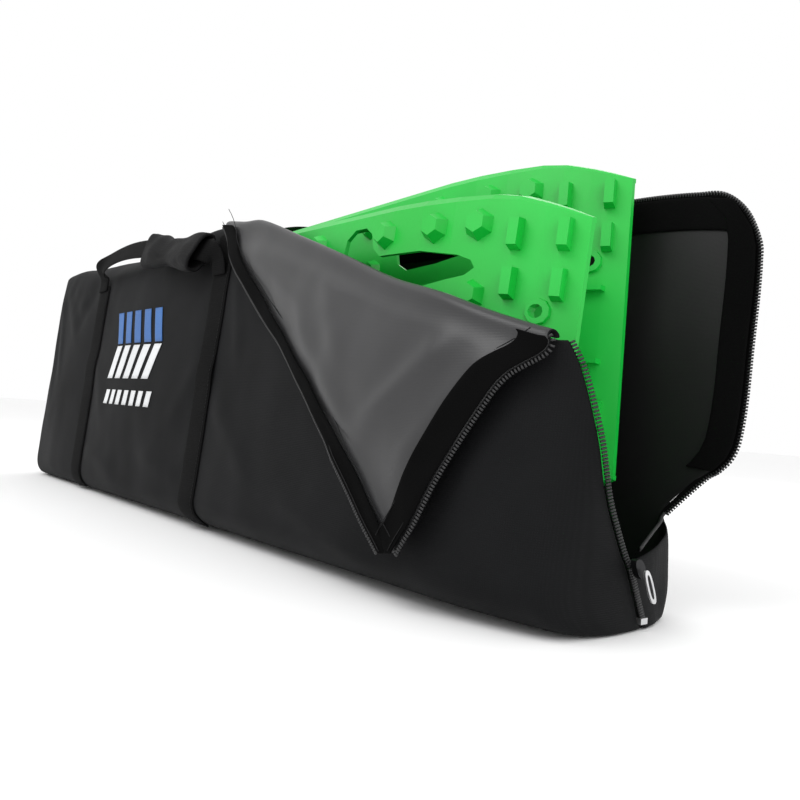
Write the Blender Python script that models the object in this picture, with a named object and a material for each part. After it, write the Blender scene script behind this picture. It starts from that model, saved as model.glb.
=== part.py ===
import bpy
import bmesh
import math
import numpy as np
from mathutils import Vector

# ---------------------------------------------------------------- driving sizes (metres)
BOARD_LENGTH = 1.060
BOARD_HALF_WIDTH = 0.1625
BOARD_DEPTH = 0.048
BOARD_LIP = 0.005
BOARD_WALL = 0.004
BOARD_RAMP = 0.184
WALL_DRAFT = 0.014
STUD_RADIUS = 0.013
STUD_HEIGHT = 0.009
CLEAT_SIZE = (0.010, 0.026, 0.011)
RIB_SIZE = (0.038, 0.005, 0.008)
BOLT_HOLE_RADIUS = 0.0055

FABRIC = 0.0024
LINING = 0.0010
SEAM_GAP = 0.0004
WEBBING_WIDTH = 0.038
WEBBING = 0.0022
STRAP_LIFT = 0.0006
BINDING_WIDTH = 0.022
BAG_FAR_X = -0.574
BAG_NEAR_X = 0.545
BASE_FRONT_Y = -0.055
BASE_REAR_Y = 0.060
SLEEVE_GAP = 0.016

# Board poses: centre of the near end edge, along, across and face directions.
FRONT_BOARD = (
    Vector((0.5265, -0.0475, 0.1708)),
    Vector((0.9987, -0.0497, -0.0116)),
    Vector((0.0161, 0.0926, 0.9956)),
)
REAR_BOARD = (
    Vector((0.4931, 0.0650, 0.2345)),
    Vector((0.9988, 0.0022, 0.0483)),
    Vector((-0.0484, 0.0717, 0.9963)),
)

for old in list(bpy.data.objects):
    bpy.data.objects.remove(old, do_unlink=True)


# ---------------------------------------------------------------- materials
def material(name, colour, rough, metallic=0.0, sheen=0.0):
    mat = bpy.data.materials.new(name)
    mat.use_nodes = True
    bsdf = mat.node_tree.nodes["Principled BSDF"]
    bsdf.inputs["Base Color"].default_value = (*colour, 1.0)
    bsdf.inputs["Roughness"].default_value = rough
    bsdf.inputs["Metallic"].default_value = metallic
    bsdf.inputs["Sheen Weight"].default_value = sheen
    mat.diffuse_color = (*colour, 1.0)
    return mat


OUTER = (0.0065, 0.0065, 0.0075)
GREEN = (0.0, 0.42, 0.055)


# ---------------------------------------------------------------- mesh helpers
def make_object(name, verts, faces, mat, smooth=False, origin=None):
    base = Vector(origin) if origin is not None else Vector((0.0, 0.0, 0.0))
    mesh = bpy.data.meshes.new(name)
    mesh.from_pydata([tuple(Vector(v) - base) for v in verts], [], faces)
    bm = bmesh.new()
    bm.from_mesh(mesh)
    bmesh.ops.recalc_face_normals(bm, faces=bm.faces)
    bm.to_mesh(mesh)
    bm.free()
    for poly in mesh.polygons:
        poly.use_smooth = smooth
    obj = bpy.data.objects.new(name, mesh)
    obj.location = base
    bpy.context.scene.collection.objects.link(obj)
    obj.data.materials.append(mat)
    return obj


def stitched(outer, inner):
    """Closed solid between two equal grids of points."""
    rows = len(outer)
    cols = len(outer[0])
    verts = [p for row in outer for p in row] + [p for row in inner for p in row]
    half = rows * cols
    faces = []
    for i in range(rows - 1):
        for j in range(cols - 1):
            a = i * cols + j
            faces.append((a, a + 1, a + cols + 1, a + cols))
            faces.append((half + a, half + a + cols, half + a + cols + 1, half + a + 1))
    rim = [i * cols for i in range(rows)]
    rim += [(rows - 1) * cols + j for j in range(1, cols)]
    rim += [i * cols + cols - 1 for i in range(rows - 2, -1, -1)]
    rim += [j for j in range(cols - 2, 0, -1)]
    for k, a in enumerate(rim):
        b = rim[(k + 1) % len(rim)]
        faces.append((a, b, half + b, half + a))
    return verts, faces


def grid_normals(points):
    arr = np.array([[tuple(p) for p in row] for row in points])
    du = np.gradient(arr, axis=0)
    dv = np.gradient(arr, axis=1)
    nrm = np.cross(du, dv)
    length = np.linalg.norm(nrm, axis=2, keepdims=True)
    return arr, nrm / np.maximum(length, 1e-9)


def sheet(name, surface, rows, cols, depth, mat, start=0.0, origin=None, inset=(0, 0, 0, 0)):
    """Fabric piece: surface(a, b) with a, b in 0..1, thickened along its normal."""
    points = [[surface(i / rows, j / cols) for j in range(cols + 1)] for i in range(rows + 1)]
    arr, nrm = grid_normals(points)
    keep = (slice(inset[0], rows + 1 - inset[1]), slice(inset[2], cols + 1 - inset[3]))
    arr = arr[keep]
    nrm = nrm[keep]
    first = arr + nrm * start
    second = arr + nrm * (start + depth)
    verts, faces = stitched(first.tolist(), second.tolist())
    return make_object(name, verts, faces, mat, smooth=True, origin=origin)


def box(name, low, high, mat, origin=None):
    xs, ys, zs = zip(low, high)
    verts = [(x, y, z) for x in xs for y in ys for z in zs]
    faces = [(0, 1, 3, 2), (4, 6, 7, 5), (0, 4, 5, 1), (2, 3, 7, 6), (0, 2, 6, 4), (1, 5, 7, 3)]
    return make_object(name, verts, faces, mat, origin=origin)


def smoothstep(value, low, high):
    t = min(max((value - low) / (high - low), 0.0), 1.0)
    return t * t * (3.0 - 2.0 * t)


def along(table, value):
    """Piecewise-smooth lookup of a row of (position, size...) entries."""
    if value <= table[0][0]:
        return table[0][1:]
    for low, high in zip(table, table[1:]):
        if value <= high[0]:
            t = (value - low[0]) / (high[0] - low[0])
            return tuple(a + (b - a) * t for a, b in zip(low[1:], high[1:]))
    return table[-1][1:]


def curve_points(points, count):
    """Even samples of a rounded path through the given points."""
    pts = [Vector(p) for p in points]
    dense = []
    for k in range(len(pts) - 1):
        p0 = pts[max(k - 1, 0)]
        p1 = pts[k]
        p2 = pts[k + 1]
        p3 = pts[min(k + 2, len(pts) - 1)]
        for m in range(12):
            t = m / 12.0
            bend = (p2 - p0) * t + (p0 * 2.0 - p1 * 5.0 + p2 * 4.0 - p3) * t * t
            bend += (p1 * 3.0 - p0 - p2 * 3.0 + p3) * t * t * t
            dense.append(p1 + bend * 0.5)
    dense.append(pts[-1])
    steps = [0.0]
    for a, b in zip(dense, dense[1:]):
        steps.append(steps[-1] + (b - a).length)
    result = []
    for i in range(count):
        want = steps[-1] * i / (count - 1)
        k = max(n for n in range(len(steps)) if steps[n] <= want + 1e-12)
        k = min(k, len(dense) - 2)
        t = (want - steps[k]) / max(steps[k + 1] - steps[k], 1e-12)
        result.append(dense[k].lerp(dense[k + 1], t))
    return result


def ribbon(name, path, wide, size, mat, start=0.0, origin=None, smooth=True):
    """Flat strip along a path; wide(i) gives the width direction at each sample."""
    width, depth = size
    outer = []
    inner = []
    for i, point in enumerate(path):
        ahead = path[min(i + 1, len(path) - 1)] - path[max(i - 1, 0)]
        ahead.normalize()
        side = Vector(wide(i))
        side = (side - ahead * side.dot(ahead)).normalized()
        up = side.cross(ahead).normalized()
        low = point + up * start
        high = point + up * (start + depth)
        outer.append([high - side * width / 2.0, high + side * width / 2.0])
        inner.append([low - side * width / 2.0, low + side * width / 2.0])
    verts, faces = stitched(outer, inner)
    return make_object(name, verts, faces, mat, smooth=smooth, origin=origin)


def tooth_strip(name, path, out, pitch, mat, origin=None):
    """Half of a coil zipper: one solid with the teeth as alternating swells."""
    rings = []
    total = sum((b - a).length for a, b in zip(path, path[1:]))
    count = int(total / pitch) * 2 + 1
    even = curve_points(path, count)
    for i, point in enumerate(even):
        ahead = (even[min(i + 1, count - 1)] - even[max(i - 1, 0)]).normalized()
        side = Vector(out(i / (count - 1)))
        side = (side - ahead * side.dot(ahead)).normalized()
        up = side.cross(ahead).normalized()
        reach = 0.0052 if i % 2 else 0.0030
        thick = 0.0017 if i % 2 else 0.0010
        rings.append([point + up * thick, point + side * reach + up * thick,
                      point + side * reach - up * thick, point - up * thick])
    verts = [p for ring in rings for p in ring]
    faces = [(0, 1, 2, 3), tuple((count - 1) * 4 + k for k in (3, 2, 1, 0))]
    for i in range(count - 1):
        for k in range(4):
            a = i * 4 + k
            b = i * 4 + (k + 1) % 4
            faces.append((a, b, b + 4, a + 4))
    return make_object(name, verts, faces, mat, origin=origin)


# ---------------------------------------------------------------- traction boards
OUTLINE = [(0.0, 0.132), (0.018, 0.140), (0.033, 0.146), (0.056, 0.154), (0.078, 0.158),
           (0.110, 0.160), (0.145, 0.1615), (BOARD_RAMP, BOARD_HALF_WIDTH)]
FLAT_STATIONS = [0.300, 0.430, 0.530]


def face_height(s):
    s = min(s, BOARD_LENGTH - s)
    if s >= BOARD_RAMP:
        return BOARD_LIP + BOARD_DEPTH
    return BOARD_LIP + BOARD_DEPTH * (1.0 - (1.0 - s / BOARD_RAMP) ** 2)


def half_width(s):
    return along(OUTLINE, min(s, BOARD_LENGTH - s))[0]


def board_section(s, wall):
    height = face_height(s) - wall
    edge = half_width(s) - wall
    draft = WALL_DRAFT * height / BOARD_DEPTH
    side = [(edge, 0.0), (edge - 0.20 * draft, 0.55 * height),
            (edge - 0.55 * draft, 0.88 * height), (edge - draft, height)]
    return [(-v, n) for v, n in side] + [(v, n) for v, n in reversed(side)]


def lug(s, v, size, height, sides=4, taper=0.8):
    """A raised lug on the face: prism or dome standing square to the local surface."""
    slope = (face_height(s + 0.001) - face_height(s - 0.001)) / 0.002
    run = Vector((1.0, 0.0, slope)).normalized()
    rise = Vector((-slope, 0.0, 1.0)).normalized()
    across = Vector((0.0, 1.0, 0.0))
    centre = Vector((s, v, face_height(s)))
    levels = [(-0.0030, 1.0), (height, taper)]
    ring = []
    for level, scale in levels:
        for k in range(sides):
            angle = 2.0 * math.pi * (k + 0.5) / sides
            reach = 1.0 / math.cos(math.pi / sides)
            along_s = math.cos(angle) * reach * size[0] / 2.0 * scale
            along_v = math.sin(angle) * reach * size[1] / 2.0 * scale
            ring.append(centre + run * along_s + across * along_v + rise * level)
    faces = [tuple(range(sides - 1, -1, -1)), tuple(sides + k for k in range(sides))]
    for k in range(sides):
        nxt = (k + 1) % sides
        faces.append((k, nxt, nxt + sides, k + sides))
    return ring, faces


def prism(outline, low, high):
    count = len(outline)
    verts = [Vector((s, v, low)) for s, v in outline] + [Vector((s, v, high)) for s, v in outline]
    faces = [tuple(range(count - 1, -1, -1)), tuple(range(count, 2 * count))]
    for k in range(count):
        nxt = (k + 1) % count
        faces.append((k, nxt, nxt + count, k + count))
    return verts, faces


def merge(pieces):
    verts = []
    faces = []
    for piece_verts, piece_faces in pieces:
        shift = len(verts)
        verts.extend(piece_verts)
        faces.extend(tuple(k + shift for k in face) for face in piece_faces)
    return verts, faces


HAND_SLOT = [(0.0847, 0.0910), (0.0890, 0.0975), (0.1020, 0.1020), (0.1430, 0.1075),
             (0.1960, 0.1075), (0.2070, 0.1150), (0.2130, 0.1300), (0.2230, 0.1365),
             (0.2400, 0.1365), (0.2520, 0.1280), (0.2560, 0.1000), (0.2500, 0.0780),
             (0.2350, 0.0690), (0.1900, 0.0700), (0.1340, 0.0770), (0.0930, 0.0850)]


def board_lugs():
    lugs = []
    for s in (0.016, 0.052):
        for v in (0.078, 0.117):
            lugs.append((s, v, CLEAT_SIZE[:2], CLEAT_SIZE[2], 4, 0.82))
    for s in (0.032, 0.082, 0.132, 0.182, 0.232):
        lugs.append((s, 0.032, RIB_SIZE[:2], RIB_SIZE[2], 4, 0.85))
    stud = (2.0 * STUD_RADIUS, 2.0 * STUD_RADIUS)
    for s in (0.085, 0.1285, 0.190, 0.300, 0.360, 0.420, 0.480):
        lugs.append((s, 0.126, stud, STUD_HEIGHT, 6, 0.58))
    for s in (0.084, 0.290, 0.350, 0.410):
        lugs.append((s, 0.068 if s < 0.1 else 0.075, stud, STUD_HEIGHT, 6, 0.58))
    for s in (0.300, 0.360, 0.420):
        lugs.append((s, 0.026, CLEAT_SIZE[:2], CLEAT_SIZE[2], 4, 0.82))
    return lugs


def ends_and_sides(items, make):
    pieces = []
    for item in items:
        for end in (0, 1):
            for sign in (1.0, -1.0):
                pieces.append(make(item, end, sign))
    return pieces


def board_mesh():
    stations = [s for s, _ in OUTLINE] + FLAT_STATIONS
    stations += [BOARD_LENGTH - s for s in reversed(FLAT_STATIONS[:-1])]
    stations += [BOARD_LENGTH - s for s, _ in reversed(OUTLINE)]
    outer = []
    inner = []
    for s in stations:
        outer.append([Vector((s, v, n)) for v, n in board_section(s, 0.0)])
        inner.append([Vector((s, v, n)) for v, n in board_section(s, BOARD_WALL)])
    shell = stitched(outer, inner)

    def one_lug(item, end, sign):
        s, v, size, height, sides, taper = item
        place = BOARD_LENGTH - s if end else s
        return lug(place, v * sign, size, height, sides, taper)

    def one_slot(item, end, sign):
        outline = [(BOARD_LENGTH - s if end else s, v * sign) for s, v in item]
        return prism(outline, -0.02, 0.09)

    def one_hole(item, end, sign):
        s, v = item
        s = BOARD_LENGTH - s if end else s
        ring = [(s + BOLT_HOLE_RADIUS * math.cos(2.0 * math.pi * k / 10),
                 v * sign + BOLT_HOLE_RADIUS * math.sin(2.0 * math.pi * k / 10))
                for k in range(10)]
        return prism(ring, -0.02, 0.09)

    added = merge(ends_and_sides(board_lugs(), one_lug))
    bosses = merge(ends_and_sides([(0.0285, 0.057, (0.022, 0.022), 0.003, 10, 0.85)], one_lug))
    removed = merge(ends_and_sides([HAND_SLOT], one_slot) + ends_and_sides([(0.0285, 0.057)],
                                                                          one_hole))
    return shell, added, bosses, removed


def boolean_parts(shell, added, bosses, removed, mat):
    body = make_object("board_work", *shell, mat)
    for label, parts, kind in (("lugs", added, "UNION"), ("bosses", bosses, "UNION"),
                               ("cuts", removed, "DIFFERENCE")):
        tool = make_object("work_" + label, *parts, mat)
        mod = body.modifiers.new(label, "BOOLEAN")
        mod.operation = kind
        mod.solver = "EXACT"
        mod.object = tool
        bpy.context.view_layer.update()
        graph = bpy.context.evaluated_depsgraph_get()
        fresh = bpy.data.meshes.new_from_object(body.evaluated_get(graph))
        body.modifiers.clear()
        body.data = fresh
        bpy.data.objects.remove(tool, do_unlink=True)
    bm = bmesh.new()
    bm.from_mesh(body.data)
    bmesh.ops.remove_doubles(bm, verts=bm.verts, dist=0.00002)
    bmesh.ops.dissolve_degenerate(bm, dist=0.00002, edges=bm.edges)
    bmesh.ops.triangulate(bm, faces=bm.faces)
    verts = [v.co.copy() for v in bm.verts]
    bm.verts.index_update()
    faces = [tuple(v.index for v in f.verts) for f in bm.faces]
    bm.free()
    bpy.data.objects.remove(body, do_unlink=True)
    return verts, faces


def place_board(name, pose, verts, faces, mat):
    origin, run, across = pose
    run = run.normalized()
    across = (across - run * across.dot(run)).normalized()
    face = across.cross(run) * -1.0
    if face.y > 0.0:
        face = -face
    placed = [origin - run * p.x + across * p.y + face * p.z for p in verts]
    return make_object(name, placed, faces, mat, origin=origin)


green_front = material("board_front_plastic", GREEN, 0.42)
green_rear = material("board_rear_plastic", GREEN, 0.42)
board_verts, board_faces = boolean_parts(*board_mesh(), green_front)
place_board("front_board", FRONT_BOARD, board_verts, board_faces, green_front)
place_board("rear_board", REAR_BOARD, board_verts, board_faces, green_rear)

# ---------------------------------------------------------------- bag surfaces
FRONT_TOP = [(BAG_FAR_X, 0.340), (-0.500, 0.343), (-0.400, 0.328), (-0.280, 0.317),
             (-0.150, 0.330), (-0.040, 0.347), (0.045, 0.347), (0.106, 0.338), (0.140, 0.335),
             (0.219, 0.309), (0.313, 0.277), (0.392, 0.249), (0.456, 0.232), (0.504, 0.216),
             (BAG_NEAR_X, 0.204)]
BACK_TOP = [(BAG_FAR_X, 0.345), (-0.100, 0.352), (0.200, 0.352), (0.470, 0.352),
            (0.560, 0.344), (0.582, 0.332)]


def front_y(x, z):
    """Front face: clears the board face and tucks under to the base edge."""
    lean = -0.0475 + ((x - 0.5265) * -0.04836 + (z - 0.1708) * 0.09324 - 0.053) / 0.99447
    lean -= SLEEVE_GAP
    lean += 0.030 * smoothstep(x, 0.455, 0.600)
    tuck = min(z / 0.036, 1.0)
    return BASE_FRONT_Y + (lean - BASE_FRONT_Y) * math.sqrt(max(1.0 - (1.0 - tuck) ** 2, 0.0))


def back_y(x, z):
    lean = 0.074 + 0.0717 * (z - 0.19) + 0.020 * smoothstep(x, -0.10, 0.55)
    tuck = min(z / 0.036, 1.0)
    return BASE_REAR_Y + (lean - BASE_REAR_Y) * math.sqrt(max(1.0 - (1.0 - tuck) ** 2, 0.0))


def tuck_rows(b, top):
    """Rows of a side panel, closer together round the bottom edge."""
    return top * (0.30 * b + 0.70 * b * b) if b < 1.0 else top


def front_surface(a, b):
    x = BAG_FAR_X + (BAG_NEAR_X - BAG_FAR_X) * a
    z = tuck_rows(b, along(FRONT_TOP, x)[0])
    return Vector((x, front_y(x, z), z))


def back_near_edge(z):
    return along([(0.000, 0.530), (0.060, 0.530), (0.082, 0.528), (0.097, 0.540),
                  (0.128, 0.574), (0.153, 0.584), (0.233, 0.586), (0.310, 0.586),
                  (0.335, 0.580), (0.352, 0.560)], z)[0]


def back_surface(a, b):
    z = tuck_rows(b, 1.0)
    top = 0.350
    x = BAG_FAR_X + (back_near_edge(z * top) - BAG_FAR_X) * a
    z = z * along(BACK_TOP, x)[0]
    return Vector((x, back_y(x, z), z))


outer_black = material("bag_front_polyester", OUTER, 0.62)
outer_back = material("bag_back_polyester", OUTER, 0.62)
outer_end = material("bag_far_end_polyester", OUTER, 0.62)
base_mat = material("bag_base_polyester", (0.005, 0.005, 0.006), 0.66)
gusset_front_mat = material("gusset_front_polyester", OUTER, 0.62)
gusset_rear_mat = material("gusset_rear_polyester", OUTER, 0.62)
lining_front_mat = material("front_lining_nylon", (0.011, 0.011, 0.012), 0.45)
lining_back_mat = material("back_lining_nylon", (0.009, 0.009, 0.010), 0.45)

box("base_panel", (BAG_FAR_X - 0.004, BASE_FRONT_Y + FABRIC + SEAM_GAP, 0.0),
    (0.5600, BASE_REAR_Y - FABRIC - SEAM_GAP, FABRIC), base_mat)

sheet("front_panel", front_surface, 26, 9, -FABRIC, outer_black)
sheet("front_lining", front_surface, 26, 9, -LINING, lining_front_mat,
      start=-FABRIC - SEAM_GAP, inset=(1, 1, 2, 1))
sheet("back_panel", back_surface, 24, 9, FABRIC, outer_back)
sheet("back_lining", back_surface, 24, 9, LINING, lining_back_mat,
      start=FABRIC + SEAM_GAP, inset=(1, 1, 2, 1))


def far_end_surface(a, b):
    """Far end wraps from the front panel edge round to the back panel edge."""
    arch = 0.341 + 0.008 * a + 0.012 * math.sin(math.pi * a)
    z = tuck_rows(b, arch)
    low = min(z, 0.340)
    front = front_y(BAG_FAR_X, low)
    rear = back_y(BAG_FAR_X, low)
    angle = math.pi * a
    mid = (front + rear) / 2.0
    wide = (rear - front) / 2.0
    bulge = 0.020 + 0.008 * math.sin(math.pi * min(z / 0.34, 1.0))
    bulge *= math.sqrt(max(1.0 - (max(b - 0.74, 0.0) / 0.27) ** 2, 0.0))
    cos = math.cos(angle)
    squared = math.copysign(abs(cos) ** 0.5, cos)
    return Vector((BAG_FAR_X - SEAM_GAP - 0.003 - bulge * abs(math.sin(angle)) ** 0.6,
                   mid - wide * squared, z + FABRIC + SEAM_GAP))


sheet("far_end_panel", far_end_surface, 12, 7, FABRIC, outer_end)

# ---------------------------------------------------------------- zipped top
GUSSET_END = 0.080


def zip_line(x):
    """Top zip: closed over the far half, opening out towards the near end."""
    height = 0.4075 + 0.0483 * (x - 0.4931)
    return Vector((x, 0.034, height))


def gusset_front_surface(a, b):
    x = BAG_FAR_X + (GUSSET_END - BAG_FAR_X) * a
    top = along(FRONT_TOP, x)[0]
    edge = Vector((x, front_y(x, top), top + FABRIC + SEAM_GAP))
    line = zip_line(x) - Vector((0.0, 0.004, 0.0))
    spread = smoothstep(x, -0.12, GUSSET_END)
    line = line.lerp(edge + Vector((0.0, 0.014, 0.006)), spread)
    shoulder = Vector((x, edge.y + 0.016, max(edge.z + 0.018, 0.352 - 0.0116 * x)))
    shoulder = shoulder.lerp(edge.lerp(line, 0.5), spread)
    return edge * (1 - b) ** 2 + shoulder * 2 * b * (1 - b) + line * b * b


def gusset_rear_surface(a, b):
    x = BAG_FAR_X + (GUSSET_END - BAG_FAR_X) * a
    top = along(BACK_TOP, x)[0]
    edge = Vector((x, back_y(x, top), top + FABRIC + SEAM_GAP))
    line = zip_line(x) + Vector((0.0, 0.004, 0.0))
    spread = smoothstep(x, -0.12, GUSSET_END)
    line = line.lerp(edge + Vector((0.0, 0.0, 0.020)), spread)
    line.z += 0.010 * math.sin(math.pi * spread)
    shoulder = Vector((x, edge.y - 0.001, line.z + 0.008)).lerp(edge.lerp(line, 0.5), spread)
    return edge * (1 - b) ** 2 + shoulder * 2 * b * (1 - b) + line * b * b


sheet("top_gusset_front", gusset_front_surface, 14, 5, -FABRIC, gusset_front_mat)
sheet("top_gusset_rear", gusset_rear_surface, 14, 5, FABRIC, gusset_rear_mat)

# ---------------------------------------------------------------- near end, zips and edging
FRONT_ZIP = [(0.556, -0.0895, 0.196), (0.5600, -0.0845, 0.186), (0.5700, -0.0720, 0.1375),
             (0.5680, -0.0550, 0.096), (0.5665, -0.0300, 0.0560)]
CLOSED_ZIP = [(0.5665, -0.0225, 0.0470), (0.5660, -0.0130, 0.0300), (0.5655, -0.0030, 0.0120)]
REAR_ZIP_LOW = [(0.5640, -0.0060, 0.0580), (0.5500, 0.0300, 0.0650), (0.5420, 0.0550, 0.0720),
                (0.5360, 0.0740, 0.0800)]


def rear_zip_path():
    """Up from the slider, round the back panel's near corner and along its top edge."""
    path = [Vector(p) for p in REAR_ZIP_LOW]
    for b in (0.47, 0.52, 0.58, 0.66, 0.76, 0.86, 0.93, 0.97):
        path.append(back_surface(1.0, b) + Vector((0.0016, -0.0012, 0.0)))
    for x in (0.564, 0.500, 0.400, 0.300, 0.200, 0.110):
        z = along(BACK_TOP, x)[0]
        path.append(Vector((x, back_y(x, z) - 0.0012, z + 0.0016)))
    return path


def front_end_surface(a, b):
    """Corner piece between the front panel's end edge and the zip."""
    z = tuck_rows(b, 0.188)
    line = FRONT_ZIP[::-1]
    pts = [(p[2], p[0], p[1]) for p in CLOSED_ZIP[::-1] + line]
    x_zip, y_zip = along(pts, z)
    edge = Vector((BAG_NEAR_X + FABRIC + SEAM_GAP, front_y(BAG_NEAR_X, z), z))
    target = Vector((x_zip - 0.001, y_zip - 0.004, z))
    corner = Vector((0.574, edge.y - 0.001, z)).lerp(edge.lerp(target, 0.5), smoothstep(z, 0.02, 0.2))
    point = edge * (1 - a) ** 2 + corner * 2 * a * (1 - a) + target * a * a
    return point + Vector((0.0, 0.0, FABRIC + SEAM_GAP))


def rear_end_surface(a, b):
    """Corner piece between the zip and the back panel's end edge, under the boards."""
    z = tuck_rows(b, 0.052 + 0.022 * a * a)
    line = [(0.012, 0.5655, 0.003), (0.030, 0.566, -0.007), (0.060, 0.566, -0.014)]
    x_zip, y_zip = along(line, z)
    start = Vector((x_zip - 0.001, y_zip + 0.009, z))
    edge = Vector((0.5345 + FABRIC + SEAM_GAP, back_y(0.534, z), z))
    corner = Vector((0.566, edge.y, z)).lerp(edge.lerp(start, 0.5), 0.35)
    point = start * (1 - a) ** 2 + corner * 2 * a * (1 - a) + edge * a * a
    return point + Vector((0.0, 0.0, FABRIC + SEAM_GAP))


strip_front_mat = material("front_end_polyester", OUTER, 0.62)
strip_rear_mat = material("rear_end_polyester", OUTER, 0.62)
binding_back_end_mat = material("back_binding_end_nylon", (0.0025, 0.0025, 0.0025), 0.8)
binding_back_top_mat = material("back_binding_top_nylon", (0.0025, 0.0025, 0.0025), 0.8)
sheet("back_binding_end", lambda a, b: back_surface(0.970 + 0.026 * a, 0.50 + 0.38 * b), 2, 8,
      LINING, binding_back_end_mat, start=FABRIC + 0.0012)
sheet("back_binding_top", lambda a, b: back_surface(0.45 + 0.51 * a, 0.925 + 0.065 * b), 16, 2,
      LINING, binding_back_top_mat, start=FABRIC + 0.0012)
sheet("front_end_panel", front_end_surface, 7, 8, -FABRIC, strip_front_mat)
sheet("rear_end_panel", rear_end_surface, 7, 5, -FABRIC, strip_rear_mat)

tape_black = material("front_zip_tape_nylon", (0.004, 0.004, 0.004), 0.75)
tape_rear = material("rear_zip_tape_nylon", (0.004, 0.004, 0.004), 0.75)
teeth_front_mat = material("front_zip_coil_nylon", (0.010, 0.010, 0.011), 0.35)
teeth_rear_mat = material("rear_zip_coil_nylon", (0.010, 0.010, 0.011), 0.35)
top_coil_mat = material("top_zip_coil_nylon", (0.010, 0.010, 0.011), 0.35)
closed_mat = material("closed_zip_coil_nylon", (0.010, 0.010, 0.011), 0.35)
stop_mat = material("bottom_stop_metal", (0.55, 0.55, 0.56), 0.35, metallic=1.0)

tooth_strip("front_zip_coil", curve_points(FRONT_ZIP, 16), lambda t: (0.3, 1.0, 0.0), 0.010,
            teeth_front_mat)
tooth_strip("rear_zip_coil", curve_points(rear_zip_path(), 120),
            lambda t: (1.0, 0.0, 0.35) if t < 0.44 else (0.1, 0.0, 1.0), 0.016, teeth_rear_mat)
tooth_strip("closed_zip_coil", [Vector(p) for p in CLOSED_ZIP], lambda t: (1.0, 0.0, 0.0), 0.006,
            closed_mat)
box("bottom_stop", (0.5650, -0.0045, 0.0050), (0.5690, 0.0040, 0.0095), stop_mat)
tooth_strip("top_zip_coil", [zip_line(BAG_FAR_X + 0.012), zip_line(-0.35), zip_line(-0.125)],
            lambda t: (0.0, 0.0, 1.0), 0.030, top_coil_mat)

# ---------------------------------------------------------------- webbing on the panels
strap_mats = [material("webbing_" + label, (0.0035, 0.0035, 0.0035), 0.8)
              for label in ("front_far", "front_near", "back_far", "back_near")]


def panel_strap(name, x, low, high, mat, side):
    level = front_y if side < 0 else back_y
    path = []
    for k in range(13):
        z = low + (high - low) * k / 12.0
        path.append(Vector((x, level(x, z), z)))

    def width(i):
        z = path[i].z
        run = level(x + 0.01, z) - level(x - 0.01, z)
        return (-side * 0.02, -side * run, 0.0)

    return ribbon(name, path, width, (WEBBING_WIDTH, WEBBING), mat, start=STRAP_LIFT)


panel_strap("strap_front_far", -0.350, 0.030, 0.308, strap_mats[0], -1)
panel_strap("strap_front_near", 0.050, 0.030, 0.338, strap_mats[1], -1)
panel_strap("strap_back_far", -0.350, 0.030, 0.330, strap_mats[2], 1)
panel_strap("strap_back_near", 0.050, 0.030, 0.330, strap_mats[3], 1)


def badge_surface(a, b):
    x = -0.265 + 0.190 * a
    z = 0.125 + 0.140 * b
    return Vector((x, front_y(x, z) - 0.0008, z))


badge_mat = material("badge_rubber", (0.02, 0.10, 0.28), 0.5)
sheet("badge", badge_surface, 8, 6, 0.0012, badge_mat)

# ---------------------------------------------------------------- folded corner flap
HINGE_A = Vector((0.0800, -0.0950, 0.3570))
HINGE_B = Vector((0.5520, -0.1080, 0.2090))
FLAP_STAND_OFF = 0.0125
FLAP_LEFT = [(0.0620, 0.346), (0.0720, 0.336), (0.1150, 0.294), (0.1810, 0.240), (0.2500, 0.193),
             (0.3160, 0.144), (0.3740, 0.097), (0.4180, 0.056), (0.4340, 0.041)]
FLAP_RIGHT = [(0.5500, 0.204), (0.5480, 0.195), (0.5250, 0.177), (0.5060, 0.149), (0.4870, 0.115),
              (0.4670, 0.071), (0.4500, 0.044)]
flap_mat = material("flap_polyester", OUTER, 0.62)
flap_lining_mat = material("flap_lining_nylon", (0.026, 0.026, 0.028), 0.38)
binding_top_mat = material("flap_binding_top_nylon", (0.0025, 0.0025, 0.0025), 0.8)
binding_end_mat = material("flap_binding_end_nylon", (0.0025, 0.0025, 0.0025), 0.8)
flap_teeth_mat = material("flap_zip_coil_nylon", (0.010, 0.010, 0.011), 0.35)


def ridge_height(x):
    return along(FRONT_TOP, min(x, BAG_NEAR_X))[0]


FLAP_ROWS = 12
FOLD_SHARE = 0.20
LEFT_EDGE = curve_points([(x, 0.0, z) for x, z in FLAP_LEFT], FLAP_ROWS + 1)
RIGHT_EDGE = curve_points([(x, 0.0, z) for x, z in FLAP_RIGHT], FLAP_ROWS + 1)


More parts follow.
